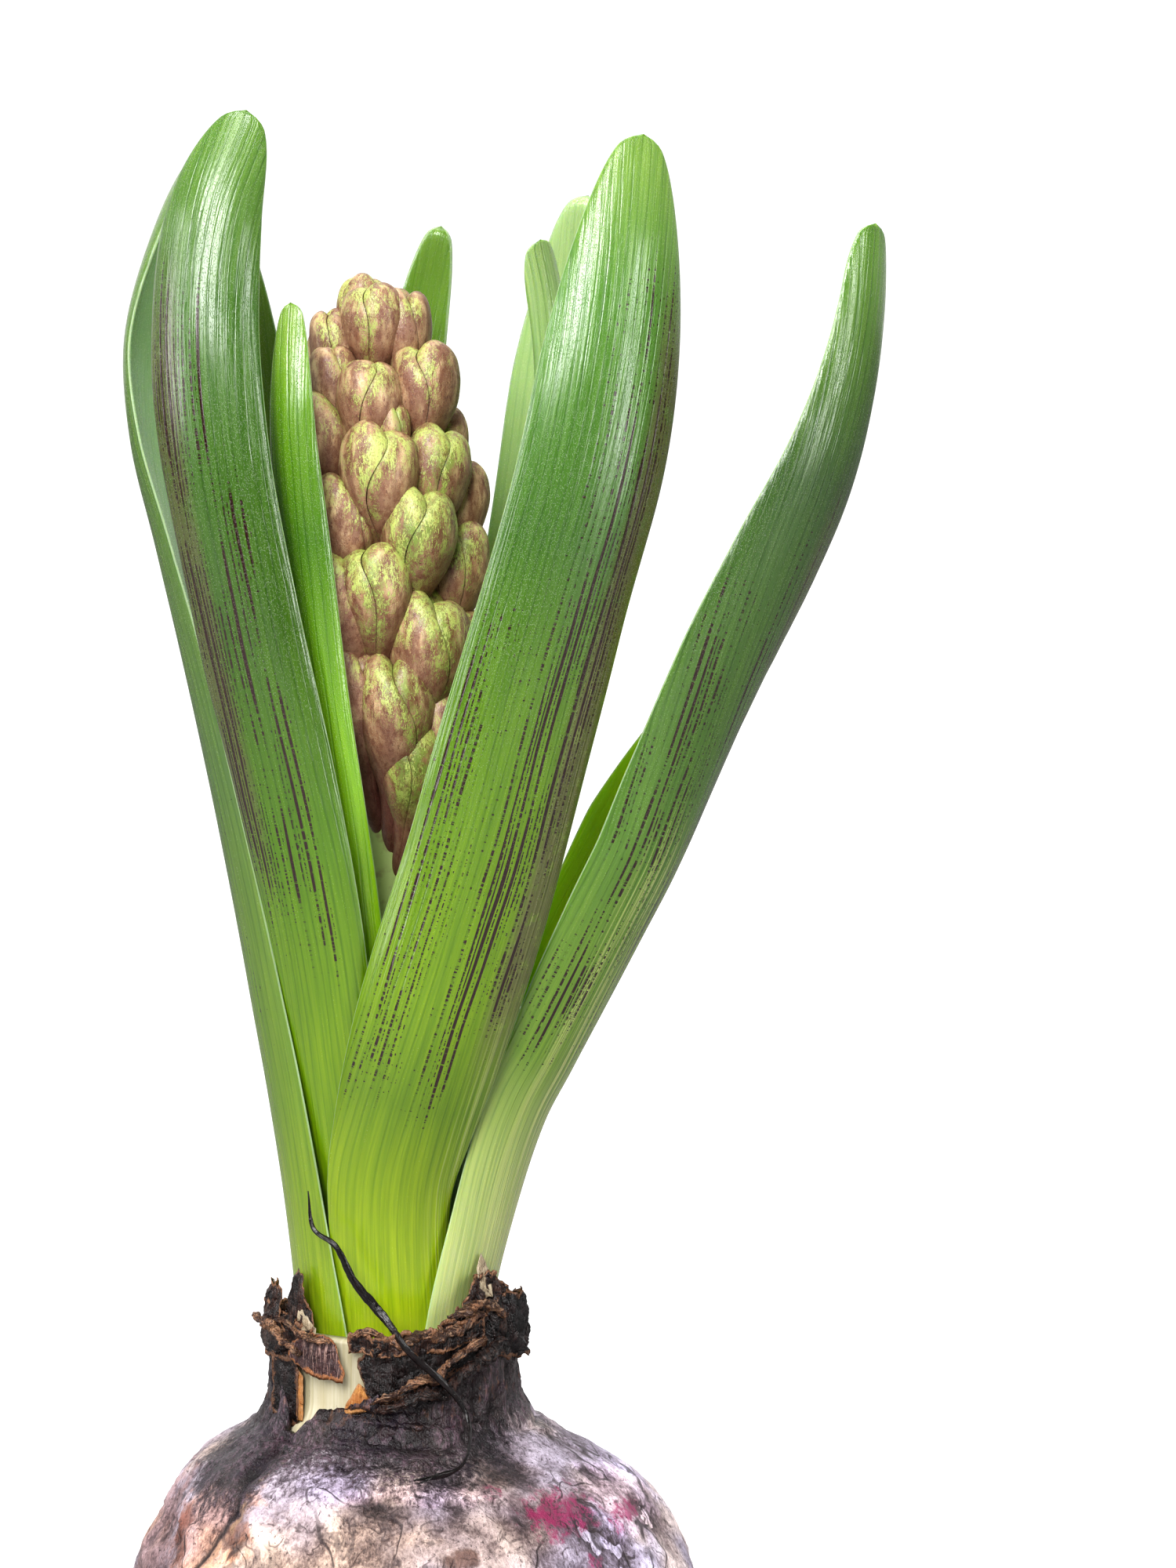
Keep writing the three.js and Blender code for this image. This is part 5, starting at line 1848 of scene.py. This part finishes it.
@dataclass
class BasalPlate:
    """The corky plate on which the bulb stands, with stubs of old roots round its edge."""

    # Half section from the middle of the underside to that of the top, as (radius, height).
    profile: Pairs = (
        (0.0, 0.0), (6.0, 0.0), (10.9, 0.0), (11.7, 0.35), (12.1, 1.0), (11.9, 2.6), (11.4, 3.1), (10.2, 3.3),
        (0.0, 3.3),
    )
    stub_start: float = 10.0
    stub_limit: float = 14.3
    stub_radius: float = 0.5
    stub_level: float = 0.75
    ring_rise: float = 0.7
    rings: int = 3
    stubs_a_ring: int = 24

    def build(self, effects: Effects) -> None:
        """Models the plate and the stubs.

        Args:
            effects: the shared node groups.
        """
        bm = bmesh.new()
        verts = [bm.verts.new((radius, 0.0, height)) for radius, height in self.profile]
        line = [bm.edges.new(pair) for pair in zip(verts, verts[1:])]
        bmesh.ops.spin(
            bm, geom=verts + line, axis=(0, 0, 1), cent=(0, 0, 0), angle=2 * math.pi, steps=96, use_merge=True
        )
        bmesh.ops.remove_doubles(bm, verts=bm.verts, dist=1e-3)
        for vert in bm.verts:
            if vert.co.z > 0.2:
                vert.co.xy *= 1 + 0.02 * cloud(vert.co, 1.5)
        luck = random.Random(7)
        for ring in range(self.rings):
            for stub in range(self.stubs_a_ring):
                turn = 2 * math.pi * (stub + luck.random()) / self.stubs_a_ring
                end = min(self.stub_start + luck.uniform(2.6, 4.3), self.stub_limit)
                girth = self.stub_radius * luck.uniform(0.5, 1.0)
                level = self.stub_level + ring * self.ring_rise + 0.2 * luck.random()
                middle = (self.stub_start + end) / 2
                lie = Matrix.Rotation(turn, 4, "Z") @ Matrix.Translation((middle, 0, level))
                lie = lie @ Matrix.Rotation(math.radians(90 + luck.uniform(-4, 4)), 4, "Y")
                bmesh.ops.create_cone(
                    bm, cap_ends=True, segments=8, radius1=girth, radius2=0.7 * girth,
                    depth=end - self.stub_start, matrix=lie,
                )
        finish_piece("plate_and_stubs", bm, CorkFinish().material(effects), ["basal_plate"])


# ---------- Torn scraps round the neck, and the dried strand ----------


@dataclass(frozen=True)
class ScrapFinish:
    """Old torn skin: its colours, and how much it shines and how hairy and bumpy it is."""

    name: str
    dark: Colour
    light: Colour
    edge: Colour
    hair: Colour
    gloss: float = 0.4
    hairy: float = 0.25
    bumps: float = 0.9

    FOLD_SHADE = (0.2, 0.15, 0.12)

    def material(self, effects: Effects) -> Material:
        """Builds the finish.

        Args:
            effects: the shared node groups.

        Returns:
            The material, which reads the scrap's own attribute.
        """
        s = Surface(self.name)
        place = s.place_mm()
        across, up, edge_mm = s.split(s.attribute("scrap"))
        blotch = s.use(effects.mottle, place=place, size=1.5, amount=0.45, grain=0.9)
        hairs = s.use(effects.lines, across=across, along=up, spacing=0.16, length=2.6, seed=3.0)
        flats = s.use(effects.creases, place=place, size=1.2, width=0.05)
        colour = s.mix(blotch, self.dark, self.light)
        colour = s.mix(s.product(s.rise(hairs, 0.6, 0.95), self.hairy), colour, self.hair)
        rag = s.noise(place, 1.3, detail=4.0, rough=0.75)
        edge = s.rise(s.raised(edge_mm, rag, -1.5), -0.62, -0.4, 1.0, 0.0)
        colour = s.mix(s.product(edge, 0.8), colour, self.edge)
        # Painted shade: darker in the scrap's folds.
        colour = s.tinted(s.rise(flats, 0.0, 1.0, 0.5, 0.0), colour, self.FOLD_SHADE)
        relief = s.raised(s.raised(s.product(hairs, 0.7), rag, 1.4), flats, 0.5)
        normal = s.bump(relief, distance=0.2, strength=self.bumps)
        return s.set(base_color=colour, roughness=1 - self.gloss, normal=normal, specular_ior_level=0.45)


NEAR_BLACK = ScrapFinish(
    "black_scrap", (0.003, 0.002, 0.002), (0.016, 0.008, 0.008), (0.16, 0.075, 0.04),
    (0.05, 0.028, 0.024), 0.76,
)
DARK_BROWN = ScrapFinish(
    "brown_scrap", (0.006, 0.003, 0.003), (0.05, 0.022, 0.016), (0.26, 0.13, 0.07), (0.14, 0.075, 0.05), 0.68
)
PURPLE_BROWN = ScrapFinish(
    "purple_scrap", (0.030, 0.012, 0.013), (0.07, 0.03, 0.03), (0.33, 0.13, 0.045),
    (0.32, 0.20, 0.17), 0.6, 0.7,
)
TAN = ScrapFinish(
    "tan_scrap", (0.035, 0.014, 0.009), (0.26, 0.13, 0.07), (0.42, 0.26, 0.15), (0.45, 0.28, 0.17), 0.6, 0.45
)
ORANGE = ScrapFinish(
    "orange_scrap", (0.36, 0.13, 0.03), (0.48, 0.22, 0.06), (0.40, 0.20, 0.08), (0.55, 0.3, 0.12), 0.55
)
CREAM = ScrapFinish(
    "cream_scrap", (0.34, 0.26, 0.17), (0.46, 0.38, 0.26), (0.50, 0.42, 0.30), (0.55, 0.46, 0.36), 0.5
)


@dataclass
class Scrap:
    """A crumpled scrap that curls round the neck; its foot, top and radius are (azimuth, value) pairs."""

    name: str
    replaces: str
    finish: ScrapFinish
    foot: Pairs
    top: Pairs
    radius: Pairs
    lean: float = -0.4  # how far the top stands out
    thickness: float = 0.35
    crumple: float = 0.5
    ragged: float = 0.7
    seed: float = 1.0
    columns_a_degree: float = 2.2
    fewest_columns: int = 24
    rows: int = 30

    def build(self, effects: Effects) -> None:
        """Models the scrap as a thin closed shell.

        Args:
            effects: the shared node groups.
        """
        start, end = self.foot[0][0], self.foot[-1][0]
        columns = max(self.fewest_columns, round(abs(end - start) * self.columns_a_degree))
        bm = bmesh.new()
        mark = bm.verts.layers.float_vector.new("scrap")
        for vert, across, up in sheet(bm, columns, self.rows):
            vert.co, vert[mark] = self._point(lerp(start, end, across), across, up, end - start)
        bmesh.ops.solidify(bm, geom=bm.faces[:] + bm.edges[:] + bm.verts[:], thickness=self.thickness)
        finish_piece(self.name, bm, self.finish.material(effects), [self.replaces])

    def _point(self, azimuth: float, across: float, up: float, span: float) -> tuple[Vector, Vector]:
        """One point of the sheet.

        Args:
            azimuth: where round the neck.
            across: share of the way along the scrap.
            up: share of the way from its foot to its top.
            span: degrees from its start to its end.

        Returns:
            The point and its scrap attribute: the places across and up and the distance to the edge.
        """
        low, high = stepped(self.foot, azimuth), stepped(self.top, azimuth)
        along = azimuth * RIM_ARC
        rim = Vector((along, self.seed * 5, 0.0))
        rag = self.ragged * (cloud(rim, 1.5, self.seed) + 0.7 * cloud(rim, 0.45, self.seed))
        height = lerp(low + 0.5 * rag, high + rag, up)
        spot = Vector((along, self.seed * 3, height * 0.8))
        fold = abs(cloud(Vector((along, 0.0, height * 0.3)), 1.8, self.seed)) * -1.6
        folds = 0.7 * crumple(spot, 1.9, self.seed) + 0.4 * crumple(spot, 0.8, self.seed) + fold
        out = self.crumple * folds
        reach = stepped(self.radius, azimuth) + self.lean * up * up + out
        width = math.radians(span) * NECK_MIDDLE
        sideways = 0.6 * self.ragged * cloud(Vector((0.0, height, self.seed)), 1.0) * (2 * across - 1) ** 3
        edge = min(across * width, (1 - across) * width, up * (high - low), (1 - up) * (high - low))
        return around(azimuth + sideways * 4, reach, height), Vector((across * width, height, edge))


SCRAPS = (
    Scrap(
        "left_collar", "neck_rag_left", DARK_BROWN, lean=-0.5, seed=1.0,
        foot=((-212, 63.0), (-180, 62.6), (-158, 61.6), (-146, 61.0), (-136, 61.6)),
        top=((-212, 66.0), (-190, 66.8), (-172, 67.4), (-158, 66.8), (-146, 66.6), (-136, 65.4)),
        radius=((-212, 13.6), (-180, 14.3), (-165, 14.0), (-136, 13.2)),
    ),
    Scrap(
        "left_tuft", "neck_rag_left", DARK_BROWN, ragged=1.6, lean=-0.2, crumple=0.8, seed=3.0,
        foot=((-182, 65.0), (-150, 64.8)),
        top=((-182, 66.4), (-172, 68.6), (-162, 70.6), (-155, 69.8), (-150, 67.0)),
        radius=((-182, 13.7), (-150, 13.5)),
    ),
    Scrap(
        "left_tall_tuft", "neck_rag_left", DARK_BROWN, ragged=1.8, lean=-0.5, seed=4.0,
        foot=((-154, 64.2), (-134, 63.8)),
        top=((-154, 67.4), (-148, 70.6), (-143, 71.0), (-138, 68.4), (-134, 66.0)),
        radius=((-154, 13.1), (-134, 12.5)),
    ),
    Scrap(
        "cream_shred", "neck_rag_left", CREAM, lean=-0.2, ragged=0.4, crumple=0.2, seed=5.0,
        foot=((-147, 64.6), (-131, 64.2)),
        top=((-147, 67.0), (-141, 67.4), (-131, 65.6)),
        radius=((-147, 12.6), (-131, 12.6)),
    ),
    Scrap(
        "front_flap", "neck_flap", PURPLE_BROWN, lean=-0.5, ragged=0.3, crumple=0.3, seed=6.0,
        foot=((-140, 62.6), (-134, 61.9), (-122, 60.9), (-110, 60.7)),
        top=((-140, 64.0), (-132, 65.2), (-120, 65.4), (-114, 64.2), (-110, 61.4)),
        radius=((-140, 14.2), (-122, 14.5), (-110, 14.3)),
    ),
    Scrap(
        "black_band", "neck_band", NEAR_BLACK, lean=0.1, ragged=0.4, crumple=0.3, seed=7.0,
        foot=(
            (-104, 62.2), (-102, 61.0), (-100.5, 59.6), (-97, 58.6), (-90, 58.4), (-78, 59.4), (-66, 60.8),
            (-44, 62.6),
        ),
        top=((-104, 62.8), (-102, 63.4), (-99, 64.6), (-90, 65.0), (-66, 65.6), (-44, 67.0)),
        radius=((-104, 13.8), (-99, 14.0), (-44, 14.0)),
    ),
    Scrap(
        "rim_lining", "neck_band", DARK_BROWN, lean=0.3, ragged=0.5, crumple=0.4, seed=8.0,
        foot=((-108, 64.0), (-90, 63.6), (-66, 63.8), (-44, 65.0)),
        top=((-108, 66.0), (-90, 65.8), (-66, 66.2), (-44, 67.8)),
        radius=((-108, 13.9), (-90, 14.2), (-44, 14.2)),
    ),
    Scrap(
        "left_wall", "neck_flap", NEAR_BLACK, lean=0.0, ragged=0.3, crumple=0.25, seed=17.0,
        foot=((-154, 56.0), (-146, 55.4), (-140, 55.0), (-136.6, 55.6)),
        top=((-154, 62.4), (-140, 62.4), (-136.6, 61.8)),
        radius=((-154, 14.4), (-146, 14.1), (-136.6, 13.6)),
    ),
    Scrap(
        "amber_left", "neck_flap", ORANGE, lean=-0.1, ragged=0.3, crumple=0.12, seed=9.0,
        foot=((-137.4, 55.8), (-135.4, 55.6)),
        top=((-137.4, 61.2), (-135.4, 60.2)),
        radius=((-137.4, 13.75), (-135.4, 13.3)),
    ),
    Scrap(
        "amber_right", "neck_band", ORANGE, lean=-0.1, ragged=0.2, crumple=0.05, seed=10.0,
        foot=((-111, 57.0), (-104, 57.4), (-96, 57.8)),
        top=((-111, 57.6), (-104, 60.4), (-96, 59.0)),
        radius=((-111, 13.5), (-96, 13.6)),
    ),
    Scrap(
        "right_clump", "neck_rag_right", DARK_BROWN, ragged=1.0, lean=-0.8, crumple=0.9, seed=11.0,
        foot=((-64, 64.4), (-45, 64.2), (-20, 63.4)),
        top=((-64, 66.0), (-54, 68.2), (-44, 71.2), (-32, 71.6), (-20, 68.8)),
        radius=((-64, 13.5), (-20, 13.9)),
    ),
    Scrap(
        "right_tip", "neck_rag_right", CREAM, lean=-0.3, ragged=0.4, crumple=0.2, seed=12.0,
        foot=((-40, 68.6), (-32, 68.8)),
        top=((-40, 71.6), (-37, 73.4), (-32, 71.4)),
        radius=((-40, 12.5), (-32, 12.9)),
    ),
    Scrap(
        "right_collar", "neck_rag_right", NEAR_BLACK, lean=-0.3, ragged=0.9, crumple=0.8, seed=13.0,
        foot=((-44, 63.0), (-34, 62.4), (-10, 61.4), (20, 63.0), (44, 64.0)),
        top=((-44, 66.6), (-34, 68.4), (-20, 68.6), (0, 67.6), (20, 66.8), (44, 66.4)),
        radius=((-44, 14.2), (-10, 14.6), (44, 13.9)),
    ),
    Scrap(
        "back_collar", "neck_rag_right", DARK_BROWN, lean=-0.4, ragged=1.0, seed=15.0,
        foot=((40, 63.4), (90, 63.8), (150, 63.2)),
        top=((40, 66.2), (70, 67.0), (110, 66.0), (150, 66.2)),
        radius=((40, 13.9), (150, 13.8)),
    ),
)


@dataclass
class Strip:
    """A thin strip or a rolled edge that lies along a route; its width is given at equal steps."""

    name: str
    replaces: str
    finish: ScrapFinish
    route: tuple[Point, ...]
    half_width: tuple[float, ...]
    half_depth: float
    lumps: float = 0.25
    twist: float = 1.0
    columns: int = 20
    rows: int = 200
    narrowest: float = 0.02

    def build(self, effects: Effects) -> None:
        """Models the strip, closed at both ends.

        Args:
            effects: the shared node groups.
        """
        bm = bmesh.new()
        mark = bm.verts.layers.float_vector.new("scrap")
        spine = Spine([Vector(point) for point in self.route])
        for vert, across, share in sheet(bm, self.columns, self.rows):
            turn = math.pi * (2 * across - 1)
            centre, along = spine.at(share)
            out = Vector((centre.x - NECK_X, centre.y, 0.0)).normalized()
            side = along.cross(out).normalized()
            out = side.cross(along)
            lean = self.twist * (1.1 * math.sin(9 * share) + 0.5 * math.sin(23 * share))
            round_spot = centre * 1.5 + side * math.cos(turn) + out * math.sin(turn)
            lump = 1 + self.lumps * (cloud(centre, 1.2) + 1.2 * cloud(round_spot, 0.8, 3.0))
            width = max(through(self.half_width, share), self.narrowest) * lump
            depth = self.half_depth * lump * min(1.0, width / 0.3)
            x, y = width * math.cos(turn), depth * math.sin(turn)
            vert.co = centre + side * (x * math.cos(lean) - y * math.sin(lean))
            vert.co += out * (x * math.sin(lean) + y * math.cos(lean))
            vert[mark] = Vector((turn * width, share * spine.length, 2.0 - 1.5 * math.sin(turn)))
        close_tube(bm)
        finish_piece(self.name, bm, self.finish.material(effects), [self.replaces])


STRIP_BLACK = ScrapFinish(
    "dried_strip", (0.002, 0.001, 0.001), (0.007, 0.003, 0.003), (0.01, 0.005, 0.004), (0.02, 0.01, 0.01),
    0.8, 0.3, 0.25,
)

STRIPS = (
    Strip(
        "dried_strip", "dried_strand", STRIP_BLACK, half_depth=0.16, rows=320, lumps=0.12, twist=0.5,
        route=(
            (-10.6, -10.2, 80.6), (-10.0, -10.6, 76.6), (-7.6, -12.2, 75.0), (-5.6, -12.4, 71.2),
            (-2.2, -13.2, 67.2), (0.4, -15.9, 64.2), (4.2, -15.4, 60.6), (6.4, -14.2, 57.2),
            (6.8, -16.4, 54.6), (6.2, -18.6, 52.8), (4.6, -20.2, 52.0), (1.0, -21.4, 51.6),
        ),
        half_width=(0.08, 0.24, 0.32, 0.42, 0.5, 0.44, 0.5, 0.4, 0.3, 0.24, 0.24, 0.4, 0.1),
    ),
    Strip(
        "strip_hair", "dried_strand", STRIP_BLACK, half_depth=0.1, rows=60,
        route=((5.4, -19.6, 52.4), (3.4, -20.9, 52.1), (1.8, -21.6, 51.4), (0.4, -22.0, 51.3)),
        half_width=(0.12, 0.14, 0.1, 0.03),
    ),
    Strip(
        "rolled_rim", "neck_band", TAN, half_depth=0.55, lumps=0.5,
        route=(
            (-5.8, -13.6, 65.6), (-3.9, -14.0, 66.0), (-1.7, -14.2, 65.2), (-0.3, -14.1, 64.8),
            (0.8, -13.9, 65.4), (1.9, -13.7, 65.7), (3.2, -13.2, 65.3), (4.8, -12.5, 65.8),
            (6.0, -11.8, 66.0), (7.0, -11.0, 67.0), (8.3, -9.8, 67.1),
        ),
        half_width=(0.2, 0.4, 0.3, 0.45, 0.6, 0.7, 0.8, 0.6, 0.5, 0.3, 0.2),
    ),
    Strip(
        "upper_roll", "neck_band", TAN, half_depth=0.5, lumps=0.45,
        route=(
            (-3.9, -14.8, 58.3), (-2.8, -14.9, 58.8), (-1.2, -14.9, 59.4), (0.4, -14.7, 60.4),
            (1.9, -14.4, 61.0), (3.3, -14.0, 61.0), (4.1, -13.6, 62.2), (5.9, -12.7, 63.4),
            (7.5, -11.6, 64.3), (8.5, -10.7, 64.6),
        ),
        half_width=(0.1, 0.2, 0.3, 0.4, 0.45, 0.4, 0.25, 0.4, 0.5, 0.2),
    ),
    Strip(
        "lower_roll", "neck_band", DARK_BROWN, half_depth=0.6, lumps=0.5,
        route=(
            (-3.4, -14.5, 57.5), (-1.0, -14.7, 58.1), (0.8, -14.5, 59.0), (2.6, -14.1, 59.4),
            (4.1, -13.5, 59.1), (5.2, -13.2, 60.5), (6.4, -12.6, 61.5), (8.6, -11.2, 63.0),
            (10.2, -9.0, 64.4),
        ),
        half_width=(0.2, 0.5, 0.7, 0.6, 0.45, 0.7, 0.8, 0.8, 0.3),
    ),
    Strip(
        "left_roll", "neck_rag_left", TAN, half_depth=0.5, lumps=0.6,
        route=(
            (-17.0, -1.6, 65.4), (-15.6, -5.4, 65.5), (-14.3, -8.0, 65.1), (-13.5, -9.3, 64.2),
            (-12.4, -10.6, 63.6), (-11.5, -11.3, 63.1),
        ),
        half_width=(0.2, 0.4, 0.5, 0.35, 0.4, 0.2),
    ),
    Strip(
        "left_inner_roll", "neck_rag_left", TAN, half_depth=0.4, lumps=0.6,
        route=(
            (-13.7, -8.2, 66.3), (-12.7, -9.5, 66.0), (-11.8, -10.5, 65.3), (-10.7, -11.5, 65.0),
            (-9.4, -12.3, 64.7), (-8.2, -12.9, 64.7),
        ),
        half_width=(0.2, 0.35, 0.3, 0.3, 0.25, 0.15),
    ),
    Strip(
        "right_roll", "neck_rag_right", TAN, half_depth=0.4, lumps=0.6,
        route=(
            (4.4, -12.9, 67.4), (5.7, -12.3, 67.7), (7.1, -11.4, 68.2), (8.2, -10.4, 68.5), (9.4, -9.2, 67.8),
            (10.5, -7.6, 66.4),
        ),
        half_width=(0.15, 0.4, 0.45, 0.5, 0.45, 0.2),
    ),
)


# ---------- Studio ----------


@dataclass(frozen=True)
class SoftBox:
    """A rectangular studio lamp that points at a place on the plant."""

    name: str
    place: Point
    target: Point
    width: float
    height: float
    power: float


@dataclass
class Studio:
    """A pale floor, a pale surround, soft boxes and the camera, in metres."""

    camera_place: Point = (0.0194, -0.5579, 0.1723)
    camera_pitch: float = -5.0
    focal_length: float = 118.6
    sensor: float = 36.0
    floor_radius: float = 4.0
    floor_grey: Colour = (0.3, 0.3, 0.3)
    floor_glow: float = 0.8
    white: Colour = (1.0, 1.0, 1.0)
    boxes: tuple[SoftBox, ...] = (
        SoftBox("front_box", (-0.2, -0.69, 0.58), (0.0, 0.0, 0.14), 0.42, 0.58, 11.0),
        SoftBox("right_box", (0.6, -0.5, 0.2), (0.02, 0.0, 0.13), 0.2, 0.5, 3.0),
        SoftBox("left_box", (-0.62, -0.25, 0.3), (0.0, 0.0, 0.1), 0.3, 0.4, 2.5),
        SoftBox("top_box", (0.0, 0.1, 0.9), (0.0, 0.0, 0.1), 0.5, 0.5, 3.0),
    )

    def build(self) -> None:
        """Sets up the whole studio."""
        self._floor()
        self._surround()
        for box in self.boxes:
            self._lamp(box)
        self._camera()
        view = bpy.context.scene.view_settings
        view.view_transform = "Standard"
        view.look = "Medium High Contrast"

    def _floor(self) -> None:
        """A wide pale floor, a little bright of itself for the camera as a lit table is."""
        bm = bmesh.new()
        bmesh.ops.create_circle(bm, cap_ends=True, segments=96, radius=self.floor_radius)
        mesh = bpy.data.meshes.new("floor")
        bm.to_mesh(mesh)
        bm.free()
        s = Surface("pale_floor")
        seen = s.add("ShaderNodeLightPath", {}).outputs["Is Camera Ray"]
        s.set(base_color=self.floor_grey, roughness=0.8, emission_color=self.white)
        mesh.materials.append(s.set(emission_strength=s.product(seen, self.floor_glow)))
        floor = add_object("floor", mesh)

    def _surround(self) -> None:
        """White where the camera looks, and for the plant dim in front and bright behind."""
        world = bpy.data.worlds.new("surround")
        world.use_nodes = True
        bpy.context.scene.world = world
        n = Nodes(world.node_tree)
        direction = n.split(n.add("ShaderNodeTexCoord", {}).outputs["Generated"])
        behind = n.rise(direction[1], -0.3, 0.8, 0.04, 0.9)
        above = n.rise(direction[2], -0.1, 0.9, 0.0, 0.2)
        seen = n.add("ShaderNodeLightPath", {}).outputs["Is Camera Ray"]
        strength = n.math("MAXIMUM", n.plus(behind, above), seen)
        background = world.node_tree.nodes["Background"]
        n.give(background.inputs["Color"], self.white)
        n.give(background.inputs["Strength"], strength)

    @staticmethod
    def _lamp(box: SoftBox) -> None:
        """Hangs one soft box.

        Args:
            box: its place, aim, size and power.
        """
        light = bpy.data.lights.new(box.name, "AREA")
        light.shape = "RECTANGLE"
        light.size, light.size_y = box.width, box.height
        light.energy = box.power
        lamp = add_object(box.name, light)
        lamp.location = box.place
        aim = Vector(box.target) - Vector(box.place)
        lamp.rotation_euler = aim.to_track_quat("-Z", "Y").to_euler()

    def _camera(self) -> None:
        """The camera, looking along +Y and a little down."""
        lens = bpy.data.cameras.new("camera")
        lens.lens, lens.sensor_width = self.focal_length, self.sensor
        lens.clip_start, lens.clip_end = 0.01, 20.0
        camera = add_object("camera", lens)
        camera.location = self.camera_place
        camera.rotation_euler = (math.radians(90 + self.camera_pitch), 0.0, 0.0)
        bpy.context.scene.camera = camera


def main() -> None:
    """Builds the plant and its studio, piece by piece."""
    logging.basicConfig(level=logging.INFO, format="%(name)s: %(message)s")
    noise.seed_set(FOLD_SEED)
    effects = Effects()
    for form in LEAVES:
        Leaf(form).build(effects)
    Spike().build(effects)
    Tunic().build(effects)
    Scales().build(effects)
    BasalPlate().build(effects)
    for piece in (*SCRAPS, *STRIPS):
        piece.build(effects)
    Studio().build()


if __name__ == "__main__":
    main()
